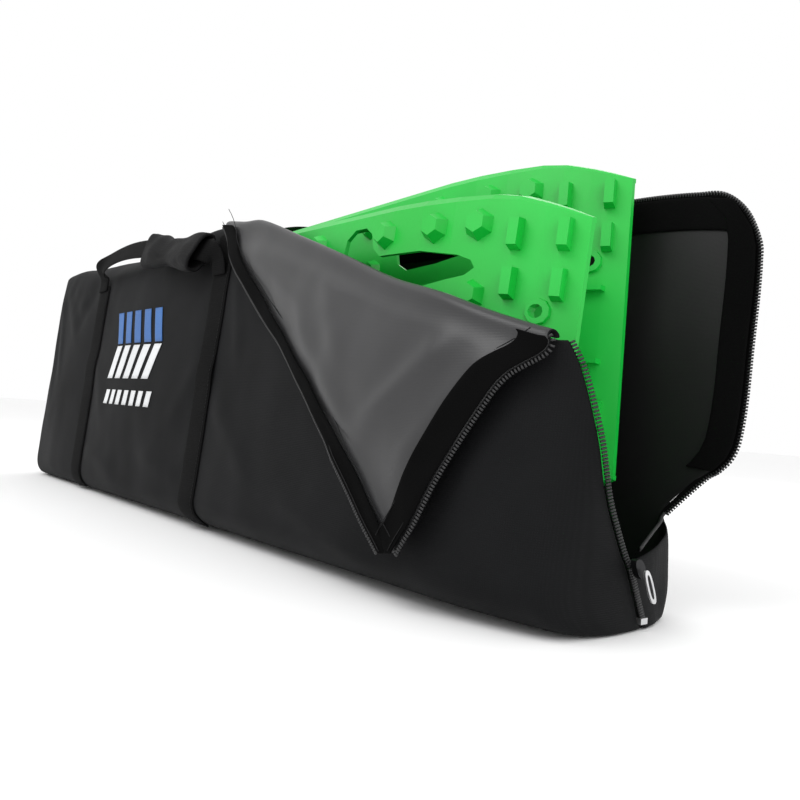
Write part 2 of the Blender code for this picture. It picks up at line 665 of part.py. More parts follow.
def flap_surface(a, b):
    """Corner of cloth folded out: a along the hinge, b over the fold and down to the tip."""
    roll = min(b / FOLD_SHARE, 1.0)
    hang = max(b - FOLD_SHARE, 0.0) / (1.0 - FOLD_SHARE)
    k = min(int(hang * FLAP_ROWS), FLAP_ROWS - 1)
    t = hang * FLAP_ROWS - k
    left = LEFT_EDGE[k].lerp(LEFT_EDGE[k + 1], t)
    right = RIGHT_EDGE[k].lerp(RIGHT_EDGE[k + 1], t)
    point = left.lerp(right, a)
    straight = LEFT_EDGE[0].z + (RIGHT_EDGE[0].z - LEFT_EDGE[0].z) * a
    point.z += (ridge_height(point.x) - 0.0035 - straight) * max(1.0 - 3.0 * hang, 0.0)
    swell = math.sin(math.pi * min(max(a, 0.0), 1.0)) * math.sin(math.pi * min(hang * 1.1, 1.0))
    lift = FLAP_STAND_OFF + 0.006 * swell + 0.0018
    point.y = front_y(min(point.x, BAG_NEAR_X), max(point.z, 0.0)) - lift
    if roll < 1.0:
        share = (point.x - HINGE_A.x) / (HINGE_B.x - HINGE_A.x)
        axis = HINGE_A.lerp(HINGE_B, share)
        turn = roll * math.pi / 2.0
        point.y = axis.y + (point.y - axis.y) * math.sin(turn)
        point.z = point.z + (axis.z + 0.0005 - point.z) * math.cos(turn)
    return point


sheet("flap_panel", flap_surface, 14, 15, FABRIC, flap_mat, start=-0.0012, origin=HINGE_A)
sheet("flap_lining", flap_surface, 14, 15, -LINING, flap_lining_mat,
      start=-0.0012 - SEAM_GAP, origin=HINGE_A, inset=(0, 0, 1, 0))


def binding_surface(side):
    def surface(a, b):
        b = FOLD_SHARE + (1.0 - FOLD_SHARE) * b
        left = flap_surface(0.0, b)
        right = flap_surface(1.0, b)
        span = max((right - left).length, 0.001)
        wide = min(BINDING_WIDTH, span * 0.5 - 0.0006)
        across = a * wide / span
        return flap_surface(across if side < 0 else 1.0 - across, b)
    return surface


sheet("flap_binding_top", binding_surface(-1), 2, 12, -LINING, binding_top_mat,
      start=-0.0036, origin=HINGE_A)
sheet("flap_binding_end", binding_surface(1), 2, 12, LINING, binding_end_mat,
      start=0.0036, origin=HINGE_A)
left_path = [flap_surface(0.0, FOLD_SHARE + (1.0 - FOLD_SHARE) * k / 12.0) + Vector((-0.0030, 0.0, -0.0034)) for k in range(0, 13)]
right_path = [flap_surface(1.0, FOLD_SHARE + (1.0 - FOLD_SHARE) * k / 12.0) + Vector((0.0036, 0.0, -0.0024)) for k in range(12, -1, -1)]
tooth_strip("flap_zip_coil", curve_points(left_path + right_path, 60),
            lambda t: (-0.7, 0.0, -0.7) if t < 0.66 else (0.8, 0.0, -0.5), 0.020, flap_teeth_mat,
            origin=HINGE_A)

# ---------------------------------------------------------------- slider and pull
SLIDER_AT = Vector((0.5780, -0.0215, 0.0480))
slider_mat = material("slider_black_metal", (0.02, 0.02, 0.02), 0.35, metallic=1.0)
pull_mat = material("pull_tab_bright_metal", (0.62, 0.62, 0.63), 0.28, metallic=1.0)
DOWN_ZIP = (Vector(CLOSED_ZIP[2]) - Vector(CLOSED_ZIP[0])).normalized()


def extruded(name, outline, depth, place, mat, origin, holes=()):
    """Flat shape with rounded outline, standing out from the zip; may have a slot."""
    outer_ring = [place(u, v, 0.0) for u, v in outline]
    outer_back_ring = [place(u, v, depth) for u, v in outline]
    verts = outer_ring + outer_back_ring
    count = len(outline)
    faces = []
    for k in range(count):
        nxt = (k + 1) % count
        faces.append((k, nxt, nxt + count, k + count))
    if not holes:
        faces += [tuple(range(count)), tuple(range(2 * count - 1, count - 1, -1))]
        return make_object(name, verts, faces, mat, origin=origin)
    verts += [place(u, v, 0.0) for u, v in holes] + [place(u, v, depth) for u, v in holes]
    for k in range(count):
        nxt = (k + 1) % count
        a, b = 2 * count + k, 2 * count + nxt
        faces.append((b, a, a + count, b + count))
        faces.append((k, nxt, b, a))
        faces.append((nxt + count, k + count, a + count, b + count))
    return make_object(name, verts, faces, mat, origin=origin)


def oval(half_u, half_v, count=16, power=0.75):
    ring = []
    for k in range(count):
        angle = 2.0 * math.pi * (k + 0.5) / count
        c = math.cos(angle)
        d = math.sin(angle)
        ring.append((half_u * math.copysign(abs(c) ** power, c),
                     half_v * math.copysign(abs(d) ** power, d)))
    return ring


def on_zip(u, v, w):
    across = Vector((0.0, 1.0, 0.0))
    return SLIDER_AT + across * u + DOWN_ZIP * v + Vector((w, 0.0, 0.0))


extruded("slider_body", oval(0.0055, 0.0085), -0.0045, lambda u, v, w: on_zip(u, v, w - 0.0010),
         slider_mat, SLIDER_AT)
PULL_PIVOT = on_zip(0.0, 0.0015, 0.0022)


def on_pull(u, v, w):
    return PULL_PIVOT + Vector((0.0, 1.0, 0.0)) * u + DOWN_ZIP * (v + 0.0125) + Vector((w, 0.0, 0.0))


extruded("pull_tab", oval(0.0042, 0.0145), 0.0014, on_pull, pull_mat, PULL_PIVOT,
         holes=oval(0.0020, 0.0105))

# ---------------------------------------------------------------- carry handles
handle_mat = material("webbing_front_handle", (0.0035, 0.0035, 0.0035), 0.8)
rear_handle_mat = material("webbing_rear_handle", (0.0035, 0.0035, 0.0035), 0.8)
wrap_mat = material("handle_wrap_padded", (0.006, 0.006, 0.007), 0.7)
FRONT_PIVOT = Vector((-0.3500, -0.0700, 0.3160))
HANDLE_STEPS = 32
front_path = curve_points([(-0.350, front_y(-0.35, 0.318) - 0.0065, 0.3190), (-0.338, -0.0770, 0.3330),
                           (-0.295, -0.0790, 0.3440), (-0.230, -0.0810, 0.3480),
                           (-0.150, -0.0850, 0.3430), (-0.070, -0.0910, 0.3320),
                           (-0.005, -0.0950, 0.3250), (0.034, -0.0955, 0.3190),
                           (0.048, -0.0915, 0.3100),
                           (0.050, front_y(0.05, 0.298) - 0.0065, 0.2980)], HANDLE_STEPS)


def front_lay(i):
    """Width of the webbing: along the bag on the legs, standing nearly upright between them."""
    t = i / (HANDLE_STEPS - 1.0)
    flat = smoothstep(t, 0.02, 0.26) * (1.0 - smoothstep(t, 0.78, 0.98))
    leg = Vector((-1.0, 0.0, 0.0)) if t < 0.5 else Vector((1.0, 0.0, 0.0))
    return leg.lerp(Vector((0.0, 0.42, 0.91)), flat)


ribbon("front_handle", front_path, front_lay, (0.030, WEBBING), handle_mat, origin=FRONT_PIVOT)

WRAP_FROM, WRAP_TO = 16, 27


def wrap_sleeve():
    """Padded sleeve closed round the webbing, open at both ends for it to pass."""
    outer = []
    inner = []
    count = 10
    for i in range(WRAP_FROM, WRAP_TO, 2):
        ahead = (front_path[i + 1] - front_path[i - 1]).normalized()
        side = Vector(front_lay(i))
        side = (side - ahead * side.dot(ahead)).normalized()
        up = side.cross(ahead).normalized()
        centre = front_path[i] + up * (WEBBING / 2.0)
        big = []
        small = []
        for k in range(count):
            angle = 2.0 * math.pi * (k + 0.5) / count
            c, d = math.cos(angle), math.sin(angle)
            squared_c = math.copysign(abs(c) ** 0.7, c)
            squared_d = math.copysign(abs(d) ** 0.7, d)
            big.append(centre + side * 0.0215 * squared_c + up * 0.0085 * squared_d)
            small.append(centre + side * 0.0178 * squared_c + up * 0.0036 * squared_d)
        outer.append(big)
        inner.append(small)
    rings = len(outer)
    verts = [p for ring in outer for p in ring] + [p for ring in inner for p in ring]
    half = rings * count
    faces = []
    for i in range(rings - 1):
        for k in range(count):
            a = i * count + k
            b = i * count + (k + 1) % count
            faces.append((a, b, b + count, a + count))
            faces.append((half + b, half + a, half + a + count, half + b + count))
    for k in range(count):
        nxt = (k + 1) % count
        faces.append((nxt, k, half + k, half + nxt))
        last = (rings - 1) * count
        faces.append((last + k, last + nxt, half + last + nxt, half + last + k))
    return verts, faces


make_object("handle_wrap", *wrap_sleeve(), wrap_mat, smooth=True, origin=FRONT_PIVOT)

REAR_PIVOT = Vector((-0.150, 0.0980, 0.3260))
rear_path = curve_points([(-0.350, 0.0900, 0.3260), (-0.3490, 0.0960, 0.2950),
                          (-0.3200, 0.0990, 0.2320), (-0.2500, 0.0990, 0.1880),
                          (-0.1500, 0.1000, 0.1720), (-0.0500, 0.1020, 0.1880),
                          (0.0200, 0.1040, 0.2320), (0.0490, 0.1010, 0.2950),
                          (0.0500, 0.0950, 0.3260)], HANDLE_STEPS)


def rear_lay(i):
    ahead = rear_path[min(i + 1, HANDLE_STEPS - 1)] - rear_path[max(i - 1, 0)]
    return Vector((0.0, 1.0, 0.0)).cross(ahead)


ribbon("rear_handle", rear_path, rear_lay, (0.030, WEBBING), rear_handle_mat, origin=REAR_PIVOT)

tab_mat = material("corner_tab_webbing", (0.0035, 0.0035, 0.0035), 0.8)
tab_path = [Vector((-0.6040, -0.020, 0.045)), Vector((-0.6140, -0.020, 0.038)),
            Vector((-0.6190, -0.020, 0.028)), Vector((-0.6150, -0.020, 0.018)),
            Vector((-0.6060, -0.020, 0.012))]
ribbon("corner_tab", tab_path, lambda i: (0.0, 1.0, 0.0), (0.024, 0.0020), tab_mat)
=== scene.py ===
import math

import bmesh
import bpy
import numpy as np
from mathutils import Matrix, Vector, noise


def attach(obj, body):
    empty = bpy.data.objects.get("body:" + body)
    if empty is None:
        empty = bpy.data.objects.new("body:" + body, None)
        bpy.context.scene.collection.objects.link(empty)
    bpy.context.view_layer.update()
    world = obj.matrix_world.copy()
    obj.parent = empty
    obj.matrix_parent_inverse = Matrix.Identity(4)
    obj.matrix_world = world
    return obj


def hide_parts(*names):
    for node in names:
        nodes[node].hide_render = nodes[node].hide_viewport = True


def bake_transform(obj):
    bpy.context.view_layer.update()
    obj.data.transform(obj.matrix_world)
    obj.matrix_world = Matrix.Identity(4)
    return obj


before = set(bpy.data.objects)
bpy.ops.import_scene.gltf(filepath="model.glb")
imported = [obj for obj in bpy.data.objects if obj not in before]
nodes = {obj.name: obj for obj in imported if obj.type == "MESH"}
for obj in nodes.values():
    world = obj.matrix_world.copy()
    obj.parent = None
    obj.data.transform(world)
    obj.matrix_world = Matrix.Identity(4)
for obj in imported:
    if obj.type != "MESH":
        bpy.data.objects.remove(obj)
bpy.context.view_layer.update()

# ------------------------------------------------------------------ sizes, as in the CAD
FAR_X = -0.574
NEAR_X = 0.545
BASE_FRONT_Y = -0.055
BASE_REAR_Y = 0.060
SLEEVE_GAP = 0.016
GUSSET_END = 0.080
CLOTH = 0.0022
STRAPS = (-0.350, 0.050)
BACK_TOP = [(FAR_X, 0.345), (-0.100, 0.352), (0.200, 0.352), (0.470, 0.352),
            (0.560, 0.344), (0.582, 0.332)]
FRONT_TOP = [(FAR_X, 0.340), (-0.500, 0.343), (-0.400, 0.328), (-0.280, 0.317),
             (-0.150, 0.330), (-0.040, 0.347), (0.045, 0.347), (0.106, 0.338), (0.140, 0.335),
             (0.219, 0.309), (0.313, 0.277), (0.392, 0.249), (0.456, 0.232), (0.504, 0.216),
             (NEAR_X, 0.204)]
FRONT_ZIP = [(0.000, 0.5655, 0.0030), (0.012, 0.5655, -0.0030), (0.030, 0.5660, -0.0130),
             (0.047, 0.5665, -0.0225), (0.056, 0.5665, -0.0300), (0.096, 0.5680, -0.0550),
             (0.1375, 0.5700, -0.0720), (0.186, 0.5600, -0.0845), (0.204, 0.5520, -0.0900)]
FLAP_LEFT = [(0.0620, 0.346), (0.0720, 0.336), (0.1150, 0.294), (0.1810, 0.240), (0.2500, 0.193),
             (0.3160, 0.144), (0.3740, 0.097), (0.4180, 0.056), (0.4340, 0.041)]
FLAP_RIGHT = [(0.5500, 0.204), (0.5480, 0.195), (0.5250, 0.177), (0.5060, 0.149), (0.4870, 0.115),
              (0.4670, 0.071), (0.4500, 0.044)]
BACK_EDGE = [(0.000, 0.530), (0.060, 0.530), (0.082, 0.528), (0.097, 0.540), (0.128, 0.574),
             (0.153, 0.584), (0.233, 0.586), (0.310, 0.586), (0.335, 0.580), (0.352, 0.560)]


def smoothstep(value, low, high):
    t = min(max((value - low) / (high - low), 0.0), 1.0)
    return t * t * (3.0 - 2.0 * t)


def along(table, value):
    """Rounded lookup of (position, size...) rows."""
    if value <= table[0][0]:
        return table[0][1:]
    if value >= table[-1][0]:
        return table[-1][1:]
    k = next(i for i in range(len(table) - 1) if value <= table[i + 1][0])
    a, b = table[k], table[k + 1]
    before = table[max(k - 1, 0)]
    after = table[min(k + 2, len(table) - 1)]
    t = (value - a[0]) / (b[0] - a[0])
    result = []
    for n in range(1, len(a)):
        slope = (b[n] - a[n]) / (b[0] - a[0])
        m0 = (b[n] - before[n]) / (b[0] - before[0]) if k else slope
        m1 = (after[n] - a[n]) / (after[0] - a[0]) if k + 2 < len(table) else slope
        step = b[0] - a[0]
        h00 = 2 * t ** 3 - 3 * t ** 2 + 1
        h10 = t ** 3 - 2 * t ** 2 + t
        h01 = -2 * t ** 3 + 3 * t ** 2
        h11 = t ** 3 - t ** 2
        result.append(h00 * a[n] + h10 * step * m0 + h01 * b[n] + h11 * step * m1)
    return tuple(result)


def path_points(points, count):
    """Even samples of a rounded path through the given points."""
    pts = [Vector(p) for p in points]
    dense = []
    for k in range(len(pts) - 1):
        p0, p1, p2 = pts[max(k - 1, 0)], pts[k], pts[k + 1]
        p3 = pts[min(k + 2, len(pts) - 1)]
        for m in range(16):
            t = m / 16.0
            bend = (p2 - p0) * t + (p0 * 2.0 - p1 * 5.0 + p2 * 4.0 - p3) * t * t
            bend += (p1 * 3.0 - p0 - p2 * 3.0 + p3) * t * t * t
            dense.append(p1 + bend * 0.5)
    dense.append(pts[-1])
    arr = np.array([tuple(p) for p in dense])
    length = np.concatenate([[0.0], np.cumsum(np.linalg.norm(np.diff(arr, axis=0), axis=1))])
    want = np.linspace(0.0, length[-1], count)
    return [Vector([np.interp(w, length, arr[:, c]) for c in range(3)]) for w in want]


# ------------------------------------------------------------------ materials
def new_material(name):
    mat = bpy.data.materials.new(name)
    mat.use_nodes = True
    return mat, mat.node_tree.nodes, mat.node_tree.links, mat.node_tree.nodes["Principled BSDF"]


def maths(nodes_, links, operation, a, b):
    node = nodes_.new("ShaderNodeMath")
    node.operation = operation
    for socket, value in zip(node.inputs, (a, b)):
        if isinstance(value, (int, float)):
            socket.default_value = value
        else:
            links.new(value, socket)
    return node.outputs[0]


def colour_mix(nodes_, links, factor, a, b):
    node = nodes_.new("ShaderNodeMix")
    node.data_type = "RGBA"
    links.new(factor, node.inputs[0])
    node.inputs[6].default_value = (*a, 1.0)
    node.inputs[7].default_value = (*b, 1.0)
    return node.outputs[2]


def ramp(nodes_, links, value, low, high):
    node = nodes_.new("ShaderNodeMapRange")
    node.inputs["From Min"].default_value = low
    node.inputs["From Max"].default_value = high
    links.new(value, node.inputs["Value"])
    return node.outputs["Result"]


def noise_value(nodes_, links, coords, scale, detail=3.0):
    node = nodes_.new("ShaderNodeTexNoise")
    node.inputs["Scale"].default_value = scale
    node.inputs["Detail"].default_value = detail
    links.new(coords, node.inputs["Vector"])
    return node.outputs["Fac"]


def bands(nodes_, links, coords, direction, pitch):
    node = nodes_.new("ShaderNodeTexWave")
    node.bands_direction = direction
    node.inputs["Scale"].default_value = 0.31416 / pitch
    node.inputs["Distortion"].default_value = 0.0
    links.new(coords, node.inputs["Vector"])
    return node.outputs["Fac"]


def woven(name, dark, light, rough, pitch, directions, bump=0.35, sheen=0.15, depth=0.0003,
          specular=0.5):
    """Plain weave: warp and weft bands, with slow changes of shade and of gloss."""
    mat, nd, ln, bsdf = new_material(name)
    coords = nd.new("ShaderNodeTexCoord").outputs["Object"]
    warp = bands(nd, ln, coords, directions[0], pitch)
    weft = bands(nd, ln, coords, directions[1], pitch)
    weave = maths(nd, ln, "MULTIPLY", warp, weft)
    slow = noise_value(nd, ln, coords, 9.0)
    fine = noise_value(nd, ln, coords, 420.0, 2.0)
    shade = maths(nd, ln, "ADD", maths(nd, ln, "MULTIPLY", weave, 0.45),
                  maths(nd, ln, "MULTIPLY", ramp(nd, ln, slow, 0.35, 0.65), 0.35))
    shade = maths(nd, ln, "ADD", shade, maths(nd, ln, "MULTIPLY", fine, 0.2))
    ln.new(colour_mix(nd, ln, shade, dark, light), bsdf.inputs["Base Color"])
    gloss = maths(nd, ln, "MULTIPLY_ADD", slow, -0.16)
    gloss.node.inputs[2].default_value = rough + 0.08
    ln.new(gloss, bsdf.inputs["Roughness"])
    height = nd.new("ShaderNodeBump")
    height.inputs["Strength"].default_value = bump
    height.inputs["Distance"].default_value = depth
    ln.new(maths(nd, ln, "ADD", weave, maths(nd, ln, "MULTIPLY", fine, 0.5)), height.inputs["Height"])
    ln.new(height.outputs["Normal"], bsdf.inputs["Normal"])
    bsdf.inputs["Sheen Weight"].default_value = sheen
    bsdf.inputs["Sheen Roughness"].default_value = 0.4
    bsdf.inputs["Specular IOR Level"].default_value = specular
    return mat


def moulded(name, dark, light, rough, grain=260.0, bump=0.12, coat=0.0):
    """Injection-moulded plastic: fine satin grain, faint scuffing and shade drift."""
    mat, nd, ln, bsdf = new_material(name)
    coords = nd.new("ShaderNodeTexCoord").outputs["Object"]
    slow = noise_value(nd, ln, coords, 7.0)
    fine = noise_value(nd, ln, coords, grain, 4.0)
    ln.new(colour_mix(nd, ln, ramp(nd, ln, slow, 0.35, 0.65), dark, light), bsdf.inputs["Base Color"])
    gloss = maths(nd, ln, "MULTIPLY_ADD", fine, 0.20)
    gloss.node.inputs[2].default_value = rough - 0.10
    ln.new(gloss, bsdf.inputs["Roughness"])
    height = nd.new("ShaderNodeBump")
    height.inputs["Strength"].default_value = bump
    height.inputs["Distance"].default_value = 0.0004
    ln.new(fine, height.inputs["Height"])
    ln.new(height.outputs["Normal"], bsdf.inputs["Normal"])
    bsdf.inputs["Coat Weight"].default_value = coat
    bsdf.inputs["Coat Roughness"].default_value = 0.25
    return mat


def metal(name, colour, rough, grain=(40.0, 900.0)):
    mat, nd, ln, bsdf = new_material(name)
    coords = nd.new("ShaderNodeTexCoord").outputs["Object"]
    slow = noise_value(nd, ln, coords, grain[0])
    fine = noise_value(nd, ln, coords, grain[1], 2.0)
    darker = tuple(c * 0.7 for c in colour)
    ln.new(colour_mix(nd, ln, slow, darker, colour), bsdf.inputs["Base Color"])
    gloss = maths(nd, ln, "MULTIPLY_ADD", fine, 0.25)
    gloss.node.inputs[2].default_value = rough - 0.10
    ln.new(gloss, bsdf.inputs["Roughness"])
    bsdf.inputs["Metallic"].default_value = 1.0
    return mat


bag_cloth = woven("bag_polyester", (0.0032, 0.0034, 0.0037), (0.0078, 0.0080, 0.0088), 0.70,
                  0.0016, "XZ", sheen=0.01, specular=0.10)
lining_cloth = woven("coated_lining", (0.0050, 0.0048, 0.0051), (0.0105, 0.0100, 0.0105), 0.45,
                     0.0011, "XZ", bump=0.2, sheen=0.01, specular=0.25)
flap_lining_cloth = woven("flap_coated_lining", (0.016, 0.016, 0.0168), (0.028, 0.028, 0.0296), 0.38,
                          0.0011, "XZ", bump=0.2, sheen=0.02, specular=0.45)
binding_cloth = woven("binding_tape", (0.0010, 0.0010, 0.0010), (0.0026, 0.0026, 0.0027), 0.85,
                      0.0012, "XZ", sheen=0.0, specular=0.05)
webbing_cloth = woven("webbing", (0.0016, 0.0016, 0.0016), (0.0056, 0.0056, 0.0058), 0.80,
                      0.0022, "XZ", bump=0.6, depth=0.0005, sheen=0.0, specular=0.08)
wrap_cloth = woven("wrap_cloth", (0.0030, 0.0030, 0.0032), (0.0085, 0.0085, 0.0090), 0.75,
                   0.0016, "XY", sheen=0.02, specular=0.12)
thread_cloth = woven("stitching_thread", (0.007, 0.007, 0.007), (0.016, 0.016, 0.017), 0.70,
                     0.0007, "XZ", sheen=0.0, specular=0.15)
coil_plastic = moulded("zip_coil_nylon", (0.004, 0.004, 0.0045), (0.010, 0.010, 0.011), 0.45, bump=0.05)
green_plastic = moulded("board_green", (0.0, 0.400, 0.028), (0.0, 0.470, 0.040), 0.45, coat=0.10)
badge_blue = moulded("badge_blue", (0.012, 0.090, 0.300), (0.018, 0.120, 0.370), 0.50)
badge_white = moulded("badge_white", (0.62, 0.63, 0.64), (0.72, 0.73, 0.74), 0.50)
bright_metal = metal("pull_bright_metal", (0.72, 0.72, 0.73), 0.30)
black_metal = metal("slider_black_metal", (0.030, 0.030, 0.032), 0.38)


# ------------------------------------------------------------------ mesh helpers
def build(name, verts, faces, mats, smooth=True, slots=None):
    mesh = bpy.data.meshes.new(name)
    mesh.from_pydata([tuple(v) for v in verts], [], faces)
    mesh.update()
    obj = bpy.data.objects.new(name, mesh)
    bpy.context.scene.collection.objects.link(obj)
    for mat in (mats if isinstance(mats, (list, tuple)) else [mats]):
        mesh.materials.append(mat)
    for k, poly in enumerate(mesh.polygons):
        poly.use_smooth = smooth
        if slots:
            poly.material_index = slots[k]
    return obj


def apply_modifiers(obj):
    bpy.context.view_layer.update()
    graph = bpy.context.evaluated_depsgraph_get()
    mesh = bpy.data.meshes.new_from_object(obj.evaluated_get(graph))
    obj.modifiers.clear()
    obj.data = mesh
    return obj


def weld(obj, distance=0.00005):
    bm = bmesh.new()
    bm.from_mesh(obj.data)
    bmesh.ops.remove_doubles(bm, verts=bm.verts, dist=distance)
    bmesh.ops.recalc_face_normals(bm, faces=bm.faces)
    bm.to_mesh(obj.data)
    bm.free()
    return obj


def grid_faces(rows, cols, shift=0, flip=False):
    faces = []
    for i in range(rows - 1):
        for j in range(cols - 1):
            a = shift + i * cols + j
            face = (a, a + 1, a + cols + 1, a + cols)
            faces.append(face[::-1] if flip else face)
    return faces


def join_grids(name, grids, mats):
    """Several grids that share their borders, welded into one sheet."""
    verts = []
    faces = []
    for points, flip in grids:
        faces += grid_faces(len(points), len(points[0]), len(verts), flip)
        verts += [p for row in points for p in row]
    obj = build(name, verts, faces, mats)
    bm = bmesh.new()
    bm.from_mesh(obj.data)
    bmesh.ops.remove_doubles(bm, verts=bm.verts, dist=0.00008)
    bm.to_mesh(obj.data)
    bm.free()
    return obj


def thicken(obj, depth, inner=0, rim=0, offset=-1.0, levels=1):
    mod = obj.modifiers.new("thickness", "SOLIDIFY")
    mod.thickness = depth
    mod.offset = offset
    mod.material_offset = inner
    mod.material_offset_rim = rim
    if levels:
        sub = obj.modifiers.new("smooth", "SUBSURF")
        sub.levels = levels
        sub.render_levels = levels
    return apply_modifiers(obj)


def ribbon(name, path, lay, width, depth, mat, lift=0.0, across=6, levels=1, crown=0.0):
    """Webbing or tape: a flat strip with rounded edges along a path."""
    outer = []
    inner = []
    count = len(path)
    for i, point in enumerate(path):
        ahead = (path[min(i + 1, count - 1)] - path[max(i - 1, 0)]).normalized()
        side = Vector(lay(i))
        side = (side - ahead * side.dot(ahead)).normalized()
        up = side.cross(ahead).normalized()
        top = []
        low = []
        for k in range(across + 1):
            s = 2.0 * k / across - 1.0
            thin = depth * (1.0 - 0.35 * abs(s) ** 6)
            bow = crown * (1.0 - s * s)
            centre = point + side * (s * width / 2.0) + up * (lift + bow)
            top.append(centre + up * thin)
            low.append(centre)
        outer.append(top)
        inner.append(low)
    rows, cols = count, across + 1
    verts = [p for row in outer for p in row] + [p for row in inner for p in row]
    half = rows * cols
    faces = grid_faces(rows, cols) + grid_faces(rows, cols, half, True)
    rim = [i * cols for i in range(rows)]
    rim += [(rows - 1) * cols + j for j in range(1, cols)]
    rim += [i * cols + cols - 1 for i in range(rows - 2, -1, -1)]
    rim += [j for j in range(cols - 2, 0, -1)]
    for k, a in enumerate(rim):
        b = rim[(k + 1) % len(rim)]
        faces.append((a, b, half + b, half + a))
    obj = weld(build(name, verts, faces, mat))
    if levels:
        sub = obj.modifiers.new("smooth", "SUBSURF")
        sub.levels = levels
        sub.render_levels = levels
        apply_modifiers(obj)
    return obj


def blocks(name, places, size, mat, bevel=0.3):
    """Many small rounded blocks as one piece: places holds (centre, x axis, y axis)."""
    half = [s / 2.0 for s in size]
    verts = []
    faces = []
    inset = 1.0 - bevel
    for centre, x_axis, y_axis in places:
        z_axis = x_axis.cross(y_axis).normalized()
        base = len(verts)
        for level, scale in ((-1.0, inset), (-0.4, 1.0), (0.4, 1.0), (1.0, inset)):
            for sx, sy in ((-1, -1), (1, -1), (1, 1), (-1, 1)):
                verts.append(centre + x_axis * (half[0] * sx * scale)
                             + y_axis * (half[1] * sy * scale) + z_axis * (half[2] * level))
        faces.append((base + 3, base + 2, base + 1, base))
        faces.append((base + 12, base + 13, base + 14, base + 15))
        for level in range(3):
            for k in range(4):
                a = base + level * 4 + k
                b = base + level * 4 + (k + 1) % 4
                faces.append((a, b, b + 4, a + 4))
    return build(name, verts, faces, mat)


def teeth(name, path, out, mat, pitch=0.0026, reach=0.0040, start=0.0):
    """Open half of a coil zip: one small loop of nylon for every tooth."""
    arr = np.array([tuple(p) for p in path])
    length = np.concatenate([[0.0], np.cumsum(np.linalg.norm(np.diff(arr, axis=0), axis=1))])
    count = int(length[-1] / pitch)
    even = [Vector([np.interp((n + 0.5) * pitch, length, arr[:, c]) for c in range(3)])
            for n in range(count)]
    places = []
    for n, point in enumerate(even):
        ahead = (even[min(n + 1, count - 1)] - even[max(n - 1, 0)]).normalized()
        side = Vector(out(n / max(count - 1, 1)))
        side = (side - ahead * side.dot(ahead)).normalized()
        places.append((point + side * (reach / 2.0 + start), side, ahead))
    return blocks(name, places, (reach, pitch * 0.62, 0.0026), mat)


# ------------------------------------------------------------------ bag surfaces
def ridge_line(x, z, start, end, width, height):
    """Height of one soft crease running from start to end in the panel's plane."""
    sx, sz = start
    dx, dz = end[0] - sx, end[1] - sz
    length = math.hypot(dx, dz)
    t = ((x - sx) * dx + (z - sz) * dz) / (length * length)
    off = ((x - sx) * dz - (z - sz) * dx) / length
    fade = smoothstep(t, -0.05, 0.18) * (1.0 - smoothstep(t, 0.60, 1.05))
    return height * fade * math.exp(-(off / width) ** 2)


FRONT_CREASES = [
    ((-0.560, 0.335), (-0.430, 0.215), 0.008, 0.0042), ((-0.545, 0.338), (-0.400, 0.262), 0.007, 0.0036),
    ((-0.525, 0.340), (-0.380, 0.300), 0.006, 0.0030), ((-0.570, 0.320), (-0.500, 0.150), 0.009, 0.0036),
    ((-0.575, 0.300), (-0.545, 0.110), 0.008, 0.0028), ((-0.380, 0.318), (-0.470, 0.240), 0.009, -0.0030),
    ((-0.320, 0.300), (-0.210, 0.270), 0.010, 0.0026), ((-0.325, 0.060), (-0.180, 0.045), 0.012, 0.0030),
    ((0.020, 0.325), (-0.110, 0.285), 0.010, 0.0030), ((0.020, 0.055), (-0.120, 0.075), 0.012, 0.0030),
    ((0.085, 0.300), (0.130, 0.170), 0.010, 0.0024), ((0.080, 0.150), (0.200, 0.060), 0.013, 0.0034),
    ((0.240, 0.060), (0.420, 0.022), 0.010, 0.0032), ((0.340, 0.110), (0.470, 0.045), 0.013, 0.0032),
    ((0.535, 0.180), (0.470, 0.060), 0.012, 0.0034), ((0.545, 0.120), (0.500, 0.030), 0.010, 0.0026),
    ((-0.335, 0.200), (-0.250, 0.095), 0.014, 0.0022), ((0.035, 0.190), (-0.040, 0.100), 0.014, 0.0022),
]


def front_relief(x, z):
    """How far the cloth stands proud: slack between the straps, tucks at the seams."""
    level = min(max(z / 0.33, 0.0), 1.0)
    rise = math.sin(math.pi * level) ** 0.8 if 0.0 < level < 1.0 else 0.0
    bulge = 0.0
    if x < STRAPS[0]:
        bulge = 0.0050 * math.sin(math.pi * min(max((x - FAR_X) / (STRAPS[0] - FAR_X), 0.0), 1.0))
    elif x < STRAPS[1]:
        bulge = 0.0085 * math.sin(math.pi * (x - STRAPS[0]) / (STRAPS[1] - STRAPS[0])) ** 0.8
    else:
        bulge = 0.0040 * math.sin(math.pi * min((x - STRAPS[1]) / (NEAR_X - STRAPS[1]), 1.0))
    total = bulge * rise
    edge = smoothstep(z, 0.004, 0.030)
    for start, end, width, height in FRONT_CREASES:
        total += ridge_line(x, z, start, end, width, height) * edge
    ripple = noise.noise(Vector((x * 9.0, z * 9.0, 1.7))) * 0.0022
    ripple += noise.noise(Vector((x * 26.0, z * 20.0, 4.2))) * 0.0009
    return total + ripple * edge


def front_y(x, z, relief=True):
    lean = -0.0475 + ((x - 0.5265) * -0.04836 + (z - 0.1708) * 0.09324 - 0.053) / 0.99447
    lean -= SLEEVE_GAP
    lean += 0.030 * smoothstep(x, 0.455, 0.600)
    if relief:
        lean -= front_relief(x, z)
    tuck = min(max(z, 0.0) / 0.036, 1.0)
    return BASE_FRONT_Y + (lean - BASE_FRONT_Y) * math.sqrt(max(1.0 - (1.0 - tuck) ** 2, 0.0))


